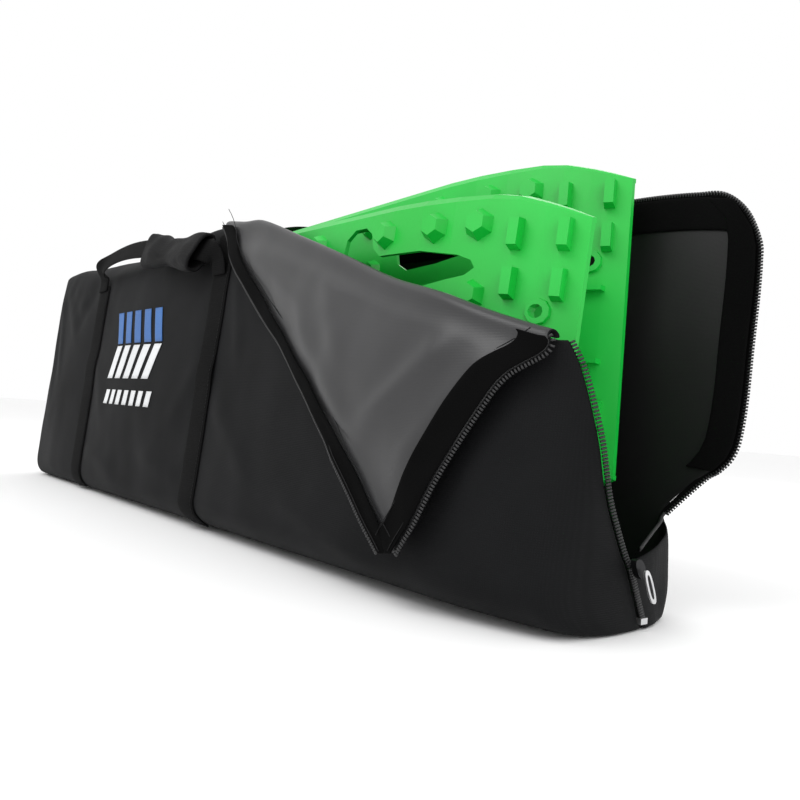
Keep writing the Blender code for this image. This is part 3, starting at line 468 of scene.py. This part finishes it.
def back_y(x, z):
    lean = 0.074 + 0.0717 * (z - 0.19) + 0.020 * smoothstep(x, -0.10, 0.55)
    ripple = noise.noise(Vector((x * 7.0, z * 8.0, 9.1))) * 0.0026
    ripple += noise.noise(Vector((x * 21.0, z * 17.0, 2.4))) * 0.0009
    lean += ripple * smoothstep(z, 0.01, 0.05)
    tuck = min(max(z, 0.0) / 0.036, 1.0)
    return BASE_REAR_Y + (lean - BASE_REAR_Y) * math.sqrt(max(1.0 - (1.0 - tuck) ** 2, 0.0))


def tuck_rows(b, top):
    return top * (0.30 * b + 0.70 * b * b)


def zip_line(x):
    return Vector((x, 0.034, 0.4075 + 0.0483 * (x - 0.4931)))


def front_top(x):
    return along(FRONT_TOP, x)[0]


def back_top(x):
    return along(BACK_TOP, x)[0]


ROWS = 34
STATIONS = 120
BOTTOM = 16
front_x = [FAR_X + (NEAR_X - FAR_X) * k / STATIONS for k in range(STATIONS + 1)]
front_grid = [[Vector((x, front_y(x, tuck_rows(j / ROWS, front_top(x))), tuck_rows(j / ROWS, front_top(x))))
               for j in range(ROWS + 1)] for x in front_x]


def back_point(a, b):
    z = tuck_rows(b, 1.0)
    x = FAR_X + (along(BACK_EDGE, z * 0.350)[0] - FAR_X) * a
    z = z * back_top(x)
    return Vector((x, back_y(x, z), z))


back_grid = [[back_point(i / STATIONS, j / ROWS) for j in range(ROWS + 1)] for i in range(STATIONS + 1)]
base_grid = [[front_grid[i][0].lerp(back_grid[i][0], j / BOTTOM) for j in range(BOTTOM + 1)]
             for i in range(STATIONS + 1)]


def gusset_front(x, b):
    edge = Vector((x, front_y(x, front_top(x)), front_top(x)))
    line = zip_line(x) - Vector((0.0, 0.004, 0.0))
    spread = smoothstep(x, -0.12, GUSSET_END)
    line = line.lerp(edge + Vector((0.0, 0.014, 0.006)), spread)
    shoulder = Vector((x, edge.y + 0.016, max(edge.z + 0.018, 0.352 - 0.0116 * x)))
    shoulder = shoulder.lerp(edge.lerp(line, 0.5), spread)
    point = edge * (1 - b) ** 2 + shoulder * 2 * b * (1 - b) + line * b * b
    point.z += noise.noise(Vector((x * 14.0, b * 2.2, 3.3))) * 0.0035 * math.sin(math.pi * b)
    return point


def gusset_rear(x, b):
    edge = Vector((x, back_y(x, back_top(x)), back_top(x)))
    line = zip_line(x) + Vector((0.0, 0.004, 0.0))
    spread = smoothstep(x, -0.12, GUSSET_END)
    line = line.lerp(edge + Vector((0.0, 0.0, 0.020)), spread)
    line.z += 0.010 * math.sin(math.pi * spread)
    shoulder = Vector((x, edge.y - 0.001, line.z + 0.008)).lerp(edge.lerp(line, 0.5), spread)
    point = edge * (1 - b) ** 2 + shoulder * 2 * b * (1 - b) + line * b * b
    point.z += noise.noise(Vector((x * 12.0, b * 2.0, 8.3))) * 0.0025 * math.sin(math.pi * b)
    return point


TOP_COLS = 6
near_k = max(k for k, x in enumerate(front_x) if x <= GUSSET_END)
gusset_f = [[gusset_front(x, j / TOP_COLS) for j in range(TOP_COLS + 1)] for x in front_x[:near_k + 1]]
for k in range(near_k + 1):
    gusset_f[k][0] = front_grid[k][ROWS]
back_near_k = max(k for k in range(STATIONS + 1) if back_grid[k][ROWS].x <= GUSSET_END)
gusset_r = [[gusset_rear(back_grid[k][ROWS].x, j / TOP_COLS) for j in range(TOP_COLS + 1)]
            for k in range(back_near_k + 1)]
for k in range(back_near_k + 1):
    gusset_r[k][0] = back_grid[k][ROWS]


def coons(left, right, low, high, bulge):
    """Patch between four borders that share corners, with an added bulge."""
    rows, cols = len(left) - 1, len(low) - 1
    result = []
    for j in range(cols + 1):
        v = j / cols
        line = []
        for i in range(rows + 1):
            u = i / rows
            point = left[i] * (1 - v) + right[i] * v + low[j] * (1 - u) + high[j] * u
            point -= (low[0] * (1 - u) * (1 - v) + low[cols] * (1 - u) * v
                      + high[0] * u * (1 - v) + high[cols] * u * v)
            line.append(point + bulge(v, u))
        result.append(line)
    return result


far_top = [p for p in gusset_f[0]]
far_top += [p for p in reversed(gusset_r[0])]
far_top = path_points(far_top, BOTTOM + 1)
far_top[0] = front_grid[0][ROWS]
far_top[-1] = back_grid[0][ROWS]


def far_bulge(v, u):
    round_v = 1.0 - abs(2.0 * v - 1.0) ** 4
    round_u = 1.0 - abs(2.0 * u - 1.0) ** 8
    swell = 0.026 * round_v * round_u
    swell += noise.noise(Vector((v * 3.0, u * 6.0, 5.5))) * 0.0028 * round_v * round_u
    return Vector((-swell, 0.0, 0.0))


far_grid = coons(front_grid[0], back_grid[0], base_grid[0], far_top, far_bulge)


# ------------------------------------------------------------------ near end of the bag
END_COLS = 8


def bend_between(start, control, end, count):
    """Points of a quadratic bend from start to end."""
    points = []
    for k in range(count + 1):
        t = k / count
        points.append(start * (1 - t) ** 2 + control * 2 * t * (1 - t) + end * t * t)
    return points


def zip_edge(z):
    x, y = along(FRONT_ZIP, z)
    return Vector((x, y, z))


end_f = []
for edge in front_grid[-1]:
    target = zip_edge(edge.z)
    corner = Vector((0.574, edge.y - 0.001, edge.z))
    corner = corner.lerp(edge.lerp(target, 0.5), smoothstep(edge.z, 0.02, 0.20))
    end_f.append(bend_between(edge, corner, target, END_COLS))

END_TOP = 0.078
end_levels = [p for p in back_grid[-1] if p.z <= END_TOP]
end_r = []
for edge in end_levels:
    low_side = zip_edge(edge.z * 0.67)
    corner = Vector((0.566, 0.050, edge.z * 0.85))
    row = bend_between(low_side + Vector((0.0, 0.0016, 0.0)), corner, edge, END_COLS)
    for k, point in enumerate(row):
        swell = math.sin(math.pi * k / END_COLS)
        point.x += swell * noise.noise(Vector((k * 0.5, edge.z * 20.0, 6.1))) * 0.004
    end_r.append(row)
outer_rim = [p.copy() for p in end_f[0]] + [p.copy() for p in end_r[0][1:]]
cap = [base_grid[-1], outer_rim]

shell = join_grids("bag_shell", [(front_grid, True), (base_grid, False), (back_grid, False),
                                 (gusset_f, True), (gusset_r, False), (far_grid, False),
                                 (end_f, False), (end_r, False), (cap, False)],
                   [bag_cloth, lining_cloth])
thicken(shell, CLOTH, inner=1, rim=0, levels=1)
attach(shell, "bag")
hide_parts("front_panel", "base_panel", "back_panel", "far_end_panel", "top_gusset_front",
            "top_gusset_rear", "front_end_panel", "rear_end_panel", "front_lining", "back_lining")

# ------------------------------------------------------------------ folded flap
FLAP_COLS = 70
FLAP_ROWS = 60
ROLL = 6
ROLL_RADIUS = 0.0072
ridge_x = [0.062 + (0.548 - 0.062) * k / FLAP_COLS for k in range(FLAP_COLS + 1)]
ridge = [Vector((x, 0.0, front_top(x))) for x in ridge_x]
left_edge = path_points([(x, 0.0, z) for x, z in FLAP_LEFT], FLAP_ROWS + 1)
right_edge = path_points([(x, 0.0, z) for x, z in FLAP_RIGHT], FLAP_ROWS + 1)
left_edge[0], right_edge[0] = ridge[0], ridge[-1]
tip = [left_edge[-1].lerp(right_edge[-1], k / FLAP_COLS) for k in range(FLAP_COLS + 1)]
hanging = coons(left_edge, right_edge, ridge, tip, lambda v, u: Vector((0.0, 0.0, 0.0)))

FLAP_CREASES = [
    ((0.075, 0.338), (0.330, 0.215), 0.012, 0.0040), ((0.110, 0.335), (0.300, 0.262), 0.010, 0.0030),
    ((0.150, 0.322), (0.420, 0.228), 0.009, 0.0026), ((0.480, 0.205), (0.380, 0.120), 0.012, 0.0040),
    ((0.520, 0.200), (0.430, 0.085), 0.012, 0.0036), ((0.120, 0.286), (0.300, 0.190), 0.012, -0.0026),
    ((0.260, 0.235), (0.400, 0.110), 0.014, 0.0032), ((0.300, 0.280), (0.360, 0.170), 0.016, 0.0030),
]


def flap_y(x, z, u, v):
    swell = 0.0085 * math.sin(math.pi * min(u * 1.1, 1.0)) * math.sin(math.pi * v) ** 0.7
    for start, end, width, height in FLAP_CREASES:
        swell += ridge_line(x, z, start, end, width, height) * smoothstep(u, 0.0, 0.15)
    swell += noise.noise(Vector((x * 11.0, z * 11.0, 7.7))) * 0.0030 * smoothstep(u, 0.0, 0.2)
    swell += noise.noise(Vector((x * 30.0, z * 26.0, 2.9))) * 0.0010
    curl = 0.0022 * math.sin(u * 9.0) * smoothstep(v, 0.80, 1.0)
    curl += 0.0030 * math.sin(u * 8.0 + 1.0) * (1.0 - smoothstep(v, 0.0, 0.14))
    curl *= smoothstep(u, 0.05, 0.2)
    return front_y(x, z) - 2.0 * ROLL_RADIUS - max(swell, -0.001) - curl - 0.001


flap_hang = []
for j in range(FLAP_COLS + 1):
    column = []
    for i in range(FLAP_ROWS + 1):
        p = hanging[j][i]
        u, v = i / FLAP_ROWS, j / FLAP_COLS
        top_y = front_y(p.x, front_top(p.x)) - 2.0 * ROLL_RADIUS
        y = top_y + (flap_y(p.x, p.z, u, v) - top_y) * smoothstep(u, 0.0, 0.12)
        column.append(Vector((p.x, y, p.z)))
    flap_hang.append(column)
flap_grid = []
for j, column in enumerate(flap_hang):
    x = column[0].x
    edge_y = front_y(x, front_top(x))
    roll = []
    for k in range(ROLL):
        angle = math.pi * k / ROLL
        roll.append(Vector((x, edge_y - ROLL_RADIUS * (1.0 - math.cos(angle)),
                            column[0].z + 0.0065 * math.sin(angle))))
    flap_grid.append(roll + column)


def hang(obj):
    """Bakes a flap piece's placement into its mesh."""
    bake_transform(obj)
    return obj


flap = join_grids("flap_sheet", [(flap_grid, False)], [flap_lining_cloth, bag_cloth])
thicken(flap, CLOTH, inner=1, rim=1, offset=-1.0, levels=1)
hang(flap)
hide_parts("flap_panel", "flap_lining")


def flap_at(u, v):
    """Point of the hanging flap, u down and v across."""
    i = min(max(u, 0.0), 1.0) * FLAP_ROWS
    j = min(max(v, 0.0), 1.0) * FLAP_COLS
    i0, j0 = min(int(i), FLAP_ROWS - 1), min(int(j), FLAP_COLS - 1)
    a = flap_hang[j0][i0].lerp(flap_hang[j0][i0 + 1], i - i0)
    b = flap_hang[j0 + 1][i0].lerp(flap_hang[j0 + 1][i0 + 1], i - i0)
    return a.lerp(b, j - j0)


BINDING = 0.024


def flap_strip(name, left, inset, width, lift, depth, mat, start=0.0):
    """Tape along one edge of the flap, lying on its lining side."""
    grid = []
    for i in range(181):
        u = start + (1.0 - start) * i / 180
        span = max((flap_at(u, 1.0) - flap_at(u, 0.0)).length, 0.001)
        row = []
        for k in range(7):
            w = min((inset + width * k / 6) / span, 0.5)
            v = w if left else 1.0 - w
            rounding = 1.0 - abs(2.0 * k / 6 - 1.0) ** 4
            row.append(flap_at(u, v) + Vector((0.0, -lift - 0.0005 * rounding, 0.0)))
        grid.append(row)
    obj = join_grids(name, [(grid, not left)], [mat])
    thicken(obj, depth, offset=-1.0, levels=1)
    return hang(obj)


flap_left = flap_strip("flap_binding_left", True, -0.001, BINDING * 1.35, 0.0026, 0.0016, binding_cloth)
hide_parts("flap_binding_top")
flap_right = flap_strip("flap_binding_right", False, -0.001, BINDING, 0.0024, 0.0016, binding_cloth)
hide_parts("flap_binding_end")


left_line = [flap_at(k / 160, 0.0) + Vector((0.0, -0.0008, 0.0)) for k in range(161)]
right_line = [flap_at(k / 160, 1.0) + Vector((0.0, -0.0008, 0.0)) for k in range(161)]
coil_left = hang(teeth("flap_coil_left", left_line, lambda t: (-0.6, 0.0, -0.8), coil_plastic,
                       start=0.0004))
hang(teeth("flap_coil_right", right_line, lambda t: (0.8, 0.0, -0.5), coil_plastic,
           start=0.0004))
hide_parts("flap_zip_coil")
for name, line, turn in (("flap_tape_left", left_line, True), ("flap_tape_right", right_line, False)):
    seam = [p + Vector((0.0, -0.0034, 0.0)) for p in line]
    inward = Vector((0.8, 0.0, 0.5)) if turn else Vector((-0.8, 0.0, 0.5))
    places = []
    for k in range(len(seam) - 1):
        for h in range(2):
            a, b = seam[k].lerp(seam[k + 1], h / 2), seam[k].lerp(seam[k + 1], (h + 1) / 2)
            ahead = (b - a).normalized()
            side = (inward - ahead * inward.dot(ahead)).normalized()
            places.append((a.lerp(b, 0.5) + side * 0.0035, side, ahead))
            places.append((a.lerp(b, 0.5) + side * 0.0205, side, ahead))
    hang(blocks(name + "_stitches", places, (0.0006, 0.0019, 0.0006), thread_cloth))


# ------------------------------------------------------------------ back panel edge
def back_at(a, b):
    i, j = min(max(a, 0.0), 1.0) * STATIONS, min(max(b, 0.0), 1.0) * ROWS
    i0, j0 = min(int(i), STATIONS - 1), min(int(j), ROWS - 1)
    p = back_grid[i0][j0].lerp(back_grid[i0][j0 + 1], j - j0)
    q = back_grid[i0 + 1][j0].lerp(back_grid[i0 + 1][j0 + 1], j - j0)
    return p.lerp(q, i - i0)


BACK_LIFT = 0.0030
LOW_B = 0.52
END_A = 0.984
TOP_START = (0.110 - FAR_X) / (0.564 - FAR_X)
top_rows = []
for k in range(121):
    a = TOP_START + (END_A - TOP_START) * k / 120
    top_rows.append([back_at(a, 1.0 - 0.048 * w / 6) + Vector((0.0, -BACK_LIFT, 0.001 - 0.001 * w / 6))
                     for w in range(7)])
back_top_tape = join_grids("back_binding_upper", [(top_rows, True)], [binding_cloth])
thicken(back_top_tape, 0.0014, offset=-1.0, levels=1)
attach(back_top_tape, "bag")
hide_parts("back_binding_top")
end_rows = []
for k in range(121):
    b = LOW_B + (1.0 - LOW_B) * k / 120
    end_rows.append([back_at(1.0 - 0.020 * w / 6, b)
                     + Vector((0.001 - 0.001 * w / 6, -BACK_LIFT - 0.0003, 0.0)) for w in range(7)])
back_end_tape = join_grids("back_binding_side", [(end_rows, False)], [binding_cloth])
thicken(back_end_tape, 0.0014, offset=-1.0, levels=1)
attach(back_end_tape, "bag")
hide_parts("back_binding_end")

rear_line = [Vector(p) for p in ((0.5640, -0.0060, 0.0580), (0.5500, 0.0300, 0.0650),
                                 (0.5420, 0.0550, 0.0720), (0.5360, 0.0740, 0.0800))]
rear_line += [back_at(1.0, b / 100.0) + Vector((0.0018, -0.0010, 0.0)) for b in range(50, 97, 3)]
rear_line += [back_at(1.0, 0.985) + Vector((0.0012, -0.001, 0.0010))]
rear_line += [back_at(0.992 - k * 0.020, 1.0) + Vector((0.0, -0.0010, 0.0018)) for k in range(20)]
REAR_SAMPLES = 420
rear_line = path_points(rear_line, REAR_SAMPLES)


def rear_out(t):
    point = rear_line[min(int(t * (len(rear_line) - 1)), len(rear_line) - 1)]
    if point.z < 0.078:
        return (0.55, 0.0, 0.84)
    turn = smoothstep(point.z, 0.322, 0.345)
    return (1.0 - turn, -0.15, turn)


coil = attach(teeth("rear_coil", rear_line, rear_out, coil_plastic), "bag")
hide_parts("rear_zip_coil")
rear_tape = ribbon("rear_zip_tape", [p - Vector(rear_out(k / (REAR_SAMPLES - 1))).normalized() * 0.0008
                                     for k, p in enumerate(rear_line)][::3],
                   lambda i: tuple(-Vector(rear_out(i * 3 / (REAR_SAMPLES - 1)))), 0.0075, 0.0010,
                   binding_cloth, lift=-0.0010, across=4)
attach(rear_tape, "bag")
FRONT_COIL_LEVELS = (0.047, 0.056, 0.075, 0.096, 0.118, 0.1375, 0.162, 0.186, 0.204)
front_line = path_points([zip_edge(z) for z in FRONT_COIL_LEVELS], 200)
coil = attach(teeth("front_coil", front_line, lambda t: (0.5, 0.86, 0.05), coil_plastic), "bag")
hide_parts("front_zip_coil")
closed_line = path_points([zip_edge(z) for z in (0.047, 0.030, 0.012, 0.004)], 80)
closed_line = [p + Vector((0.0012, 0.0008, 0.0)) for p in closed_line]
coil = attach(teeth("closed_coil_a", closed_line, lambda t: (0.0, 1.0, 0.0), coil_plastic,
                     pitch=0.0022, start=-0.0004), "bag")
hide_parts("closed_zip_coil")
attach(teeth("closed_coil_b", [p + Vector((0.0004, 0.0, 0.0011)) for p in closed_line],
              lambda t: (0.0, -1.0, 0.0), coil_plastic, pitch=0.0022, start=-0.0010), "bag")
top_line = [zip_line(-0.562 + (-0.125 + 0.562) * k / 200) + Vector((0.0, 0.0, 0.0022)) for k in range(201)]
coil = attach(teeth("top_coil_front", top_line, lambda t: (0.0, -1.0, 0.0), coil_plastic,
                     start=-0.0006), "bag")
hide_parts("top_zip_coil")
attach(teeth("top_coil_rear", [p + Vector((0.0013, 0.0, 0.0)) for p in top_line],
              lambda t: (0.0, 1.0, 0.0), coil_plastic, start=-0.0006), "bag")
tape = ribbon("top_zip_tape", [p - Vector((0.0, 0.0, 0.0022)) for p in top_line[::4]],
              lambda i: (0.0, -1.0, 0.0), 0.026, 0.0012, binding_cloth, lift=0.0004, across=6, crown=0.001)
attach(tape, "bag")


# ------------------------------------------------------------------ straps and stitching
def stitch_row(name, path, side, lift, body, pitch=0.0042):
    """A row of lockstitches that follows a path: side holds the offset from it."""
    arr = np.array([tuple(p) for p in path])
    length = np.concatenate([[0.0], np.cumsum(np.linalg.norm(np.diff(arr, axis=0), axis=1))])
    count = int(length[-1] / pitch)
    places = []
    offset = Vector(side)
    for n in range(count):
        a = Vector([np.interp((n + 0.2) * pitch, length, arr[:, c]) for c in range(3)])
        b = Vector([np.interp((n + 0.8) * pitch, length, arr[:, c]) for c in range(3)])
        ahead = (b - a).normalized()
        across = (offset - ahead * offset.dot(ahead)).normalized()
        up = across.cross(ahead).normalized()
        places.append((a.lerp(b, 0.5) + offset + up * lift, across, ahead))
    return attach(blocks(name, places, (0.0007, pitch * 0.6, 0.0006), thread_cloth), body)


STRAP_WIDTH = 0.038
STRAP_SAMPLES = (-0.019, -0.012, -0.006, 0.0, 0.006, 0.012, 0.019)
for label, x, top_z in (("far", STRAPS[0], 0.309), ("near", STRAPS[1], 0.340)):
    path = []
    for k in range(70):
        z = 0.005 + (top_z - 0.005) * k / 69
        y = min(front_y(x + dx, z) for dx in STRAP_SAMPLES)
        path.append(Vector((x + 0.0010 * math.sin(z * 30.0), y - 0.0004, z)))
    strap = ribbon("front_strap_" + label, path, lambda i: (1.0, 0.0, 0.0), STRAP_WIDTH, 0.0019,
                   webbing_cloth, lift=0.0002, across=8, crown=0.0004)
    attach(strap, "bag")
    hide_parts("strap_front_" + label)
    for sign in (-1.0, 1.0):
        stitch_row("front_strap_%s_stitches_%d" % (label, sign > 0), path,
                   (sign * (STRAP_WIDTH / 2.0 - 0.0035), 0.0, 0.0), 0.0022, "bag")
    path = []
    for k in range(70):
        z = 0.030 + (0.330 - 0.030) * k / 69
        y = max(back_y(x + dx, z) for dx in STRAP_SAMPLES)
        path.append(Vector((x, y + 0.0004, z)))
    strap = ribbon("back_strap_" + label, path, lambda i: (-1.0, 0.0, 0.0), STRAP_WIDTH, 0.0019,
                   webbing_cloth, lift=0.0002, across=8, crown=0.0004)
    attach(strap, "bag")
    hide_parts("strap_back_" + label)
    for sign in (-1.0, 1.0):
        stitch_row("back_strap_%s_stitches_%d" % (label, sign > 0), path,
                   (sign * (STRAP_WIDTH / 2.0 - 0.0035), 0.0, 0.0), 0.0022, "bag")
    low = ribbon("base_strap_" + label,
                 [Vector((x, BASE_FRONT_Y + 0.004 + (BASE_REAR_Y - BASE_FRONT_Y - 0.008) * k / 20, 0.0022))
                  for k in range(21)], lambda i: (1.0, 0.0, 0.0), STRAP_WIDTH, 0.0014, webbing_cloth)
    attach(low, "bag")

# ------------------------------------------------------------------ handles
HANDLE_POINTS = 120
handle_path = path_points([(-0.350, front_y(-0.350, 0.300) - 0.0065, 0.3000),
                           (-0.350, front_y(-0.350, 0.318) - 0.0065, 0.3190), (-0.338, -0.0770, 0.3330),
                           (-0.295, -0.0790, 0.3440), (-0.230, -0.0810, 0.3480), (-0.150, -0.0850, 0.3430),
                           (-0.070, -0.0910, 0.3320), (-0.005, -0.0950, 0.3250), (0.034, -0.0955, 0.3190),
                           (0.048, -0.0915, 0.3100), (0.050, front_y(0.050, 0.290) - 0.0060, 0.2900)],
                          HANDLE_POINTS)


def front_handle_lay(i):
    t = i / (HANDLE_POINTS - 1.0)
    rise = smoothstep(t, 0.05, 0.28)
    fall = smoothstep(t, 0.84, 0.97)
    tilt = Vector((0.0, -0.42, -0.91))
    side = Vector((1.0, 0.0, 0.0)).lerp(tilt, rise)
    return tuple(side.lerp(Vector((-1.0, 0.0, 0.0)), fall))


strip = ribbon("front_handle_webbing", handle_path, front_handle_lay, 0.030, 0.0024, webbing_cloth,
               lift=-0.0012, across=8)
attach(strip, "front_handle_body")
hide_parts("front_handle")

WRAP_START, WRAP_END, WRAP_RING = 64, 106, 36
rings = []
for i in range(WRAP_START, WRAP_END + 1):
    t = (i - WRAP_START) / (WRAP_END - WRAP_START)
    centre = handle_path[i].copy()
    ahead = (handle_path[i + 1] - handle_path[i - 1]).normalized()
    side = Vector((0.0, -0.42, -0.91))
    side = (side - ahead * side.dot(ahead)).normalized()
    up = side.cross(ahead).normalized()
    half = 0.0245 - 0.0035 * math.sin(math.pi * t * 1.2) + 0.0015 * math.sin(t * 9.0)
    thick = 0.0105 + 0.0015 * math.sin(t * 7.0 + 1.0)
    centre += side * 0.005
    ring = []
    for k in range(WRAP_RING):
        angle = 2.0 * math.pi * k / WRAP_RING
        c, s = math.cos(angle), math.sin(angle)
        flat = abs(c) ** 0.8 * (1.0 if c >= 0 else -1.0)
        puff = noise.noise(Vector((t * 5.0, c * 1.6, s * 1.6))) * 0.0026
        lip = 0.006 * (1.0 - smoothstep(t, 0.0, 0.16)) * max(-c, 0.0)
        ring.append(centre + side * (flat * (half + puff)) + up * (s * (thick + puff) + lip))
    rings.append(ring)
verts = [p for ring in rings for p in ring]
faces = []
for i in range(len(rings) - 1):
    for k in range(WRAP_RING):
        a = i * WRAP_RING + k
        b = i * WRAP_RING + (k + 1) % WRAP_RING
        faces.append((a, a + WRAP_RING, b + WRAP_RING, b))
wrap = build("handle_pad", verts, faces, [wrap_cloth, lining_cloth])
thicken(wrap, 0.0040, inner=0, rim=0, offset=-1.0, levels=1)
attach(wrap, "front_handle_body")
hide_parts("handle_wrap")
WRAP_SEAM = 21
seam = [rings[i][WRAP_SEAM] for i in range(len(rings))]
stitch_row("handle_pad_stitches", seam, (0.0, 0.0, 0.0006), 0.0002, "front_handle_body")

REAR_HANDLE_POINTS = 110
rear_handle_path = path_points([(-0.350, 0.0900, 0.3260), (-0.3490, 0.0960, 0.2950),
                                (-0.3200, 0.0990, 0.2320), (-0.2500, 0.0990, 0.1880),
                                (-0.1500, 0.1000, 0.1720), (-0.0500, 0.1020, 0.1880),
                                (0.0200, 0.1040, 0.2320), (0.0490, 0.1010, 0.2950),
                                (0.0500, 0.0950, 0.3260)], REAR_HANDLE_POINTS)


def rear_handle_lay(i):
    ahead = rear_handle_path[min(i + 1, REAR_HANDLE_POINTS - 1)] - rear_handle_path[max(i - 1, 0)]
    return tuple(ahead.cross(Vector((0.0, 1.0, 0.0))))


strip = ribbon("rear_handle_webbing", rear_handle_path, rear_handle_lay, 0.030, 0.0024, webbing_cloth,
               lift=-0.0012, across=8)
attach(strip, "rear_handle_body")
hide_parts("rear_handle")

tab_path = path_points([(-0.6020, -0.020, 0.046), (-0.6140, -0.020, 0.038), (-0.6190, -0.020, 0.028),
                        (-0.6150, -0.020, 0.018), (-0.6030, -0.020, 0.011)], 24)
tab = ribbon("corner_loop", tab_path, lambda i: (0.0, 1.0, 0.0), 0.024, 0.0018, webbing_cloth,
             lift=-0.0009, across=6)
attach(tab, "bag")
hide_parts("corner_tab")


# ------------------------------------------------------------------ badge: plain tread chevrons
def decal(name, corners, mat, steps=8):
    """Thin printed patch with four corners in the panel's plane, laid on the cloth."""
    a, b, c, d = [Vector((x, 0.0, z)) for x, z in corners]
    grid = []
    for i in range(steps + 1):
        u = i / steps
        row = []
        for j in range(steps + 1):
            v = j / steps
            p = a.lerp(b, u).lerp(d.lerp(c, u), v)
            p.y = front_y(p.x, p.z) - 0.0009
            row.append(p)
        grid.append(row)
    return build(name, [p for row in grid for p in row], grid_faces(steps + 1, steps + 1, 0, True), mat)


def merge(name, parts):
    bm = bmesh.new()
    for part in parts:
        bm.from_mesh(part.data)
    mesh = bpy.data.meshes.new(name)
    bm.to_mesh(mesh)
    bm.free()
    obj = bpy.data.objects.new(name, mesh)
    bpy.context.scene.collection.objects.link(obj)
    mesh.materials.append(parts[0].data.materials[0])
    for part in parts:
        bpy.data.objects.remove(part)
    for poly in mesh.polygons:
        poly.use_smooth = True
    return obj


BADGE_LEFT, BADGE_LOW, BADGE_HIGH = -0.262, 0.168, 0.262
CHEVRONS, CHEVRON_STEP, CHEVRON_ARM, CHEVRON_REACH = 5, 0.0345, 0.0215, 0.024
MIDDLE = (BADGE_LOW + BADGE_HIGH) / 2.0
blue_parts = []
white_parts = []
for k in range(CHEVRONS):
    x = BADGE_LEFT + k * CHEVRON_STEP
    blue_parts.append(decal("blue_%d" % k, [(x, BADGE_HIGH), (x + CHEVRON_ARM, BADGE_HIGH),
                                            (x + CHEVRON_ARM + CHEVRON_REACH, MIDDLE + 0.0015),
                                            (x + CHEVRON_REACH, MIDDLE + 0.0015)], badge_blue))
    white_parts.append(decal("white_%d" % k, [(x + CHEVRON_REACH, MIDDLE - 0.0015),
                                              (x + CHEVRON_REACH + CHEVRON_ARM, MIDDLE - 0.0015),
                                              (x + CHEVRON_ARM, BADGE_LOW), (x, BADGE_LOW)], badge_white))
for k in range(7):
    x = BADGE_LEFT + 0.002 + k * 0.0262
    white_parts.append(decal("bar_%d" % k, [(x + 0.005, 0.152), (x + 0.020, 0.152), (x + 0.015, 0.132),
                                            (x, 0.132)], badge_white, 4))
badge_top = merge("badge_chevrons_blue", blue_parts)
badge_low = merge("badge_chevrons_white", white_parts)
for part in (badge_top, badge_low):
    part.modifiers.new("thickness", "SOLIDIFY").thickness = 0.0004
    part.modifiers["thickness"].offset = 1.0
    apply_modifiers(part)
    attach(part, "bag")
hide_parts("badge")

# ------------------------------------------------------------------ boards and zip hardware
for name, mat, radius in (("front_board", green_plastic, 0.0022), ("rear_board", green_plastic, 0.0022),
                          ("slider_body", black_metal, 0.0004), ("pull_tab", bright_metal, 0.0003),
                          ("bottom_stop", bright_metal, 0.0003)):
    node = nodes[name]
    node.data.materials.clear()
    node.data.materials.append(mat)
    edge = node.modifiers.new("edge", "BEVEL")
    edge.width = radius
    edge.segments = 3
    edge.limit_method = "ANGLE"
    edge.angle_limit = math.radians(22.0)
    edge.harden_normals = False
    for poly in node.data.polygons:
        poly.use_smooth = True

# ------------------------------------------------------------------ camera, light and floor
right = Vector((0.6569, 0.7505, 0.0736)).normalized()
forward = Vector((-0.7534, 0.6573, 0.0210))
forward = (forward - right * forward.dot(right)).normalized()
above = right.cross(forward).normalized()
camera_data = bpy.data.cameras.new("camera")
camera_data.lens = 36.735
camera_data.sensor_width = 36.0
camera = bpy.data.objects.new("camera", camera_data)
CAMERA_PLACE = (0.8957, -0.5373, 0.1429)
camera.matrix_world = Matrix(((right.x, above.x, -forward.x, CAMERA_PLACE[0]),
                              (right.y, above.y, -forward.y, CAMERA_PLACE[1]),
                              (right.z, above.z, -forward.z, CAMERA_PLACE[2]), (0.0, 0.0, 0.0, 1.0)))
bpy.context.scene.collection.objects.link(camera)
bpy.context.scene.camera = camera

world = bpy.data.worlds.new("world")
world.use_nodes = True
world.node_tree.nodes["Background"].inputs["Color"].default_value = (1.0, 1.0, 1.0, 1.0)
world.node_tree.nodes["Background"].inputs["Strength"].default_value = 1.0
bpy.context.scene.world = world
bpy.context.scene.view_settings.view_transform = "Standard"


def softbox(name, place, target, width, height, power):
    data = bpy.data.lights.new(name, "AREA")
    data.shape = "RECTANGLE"
    data.size, data.size_y = width, height
    data.energy = power
    obj = bpy.data.objects.new(name, data)
    obj.location = place
    obj.rotation_euler = (Vector(target) - Vector(place)).to_track_quat("-Z", "Y").to_euler()
    bpy.context.scene.collection.objects.link(obj)


softbox("key", (0.10, -1.60, 1.90), (0.0, 0.0, 0.15), 1.6, 1.2, 22.0)
softbox("side", (1.90, -0.60, 1.10), (0.3, 0.0, 0.15), 1.2, 1.2, 8.0)
softbox("rim", (-0.60, 1.60, 1.60), (0.0, 0.0, 0.20), 1.6, 0.8, 8.0)

floor_mat, floor_nodes, floor_links, floor_bsdf = new_material("floor_paint")
floor_coords = floor_nodes.new("ShaderNodeTexCoord").outputs["Object"]
floor_tone = noise_value(floor_nodes, floor_links, floor_coords, 0.8)
floor_links.new(colour_mix(floor_nodes, floor_links, floor_tone, (0.93, 0.93, 0.93), (0.95, 0.95, 0.95)),
                floor_bsdf.inputs["Base Color"])
floor_bsdf.inputs["Roughness"].default_value = 0.9
floor = build("floor", [(-12, -12, -0.0005), (12, -12, -0.0005), (12, 12, -0.0005), (-12, 12, -0.0005)],
              [(0, 1, 2, 3)], floor_mat, smooth=False)
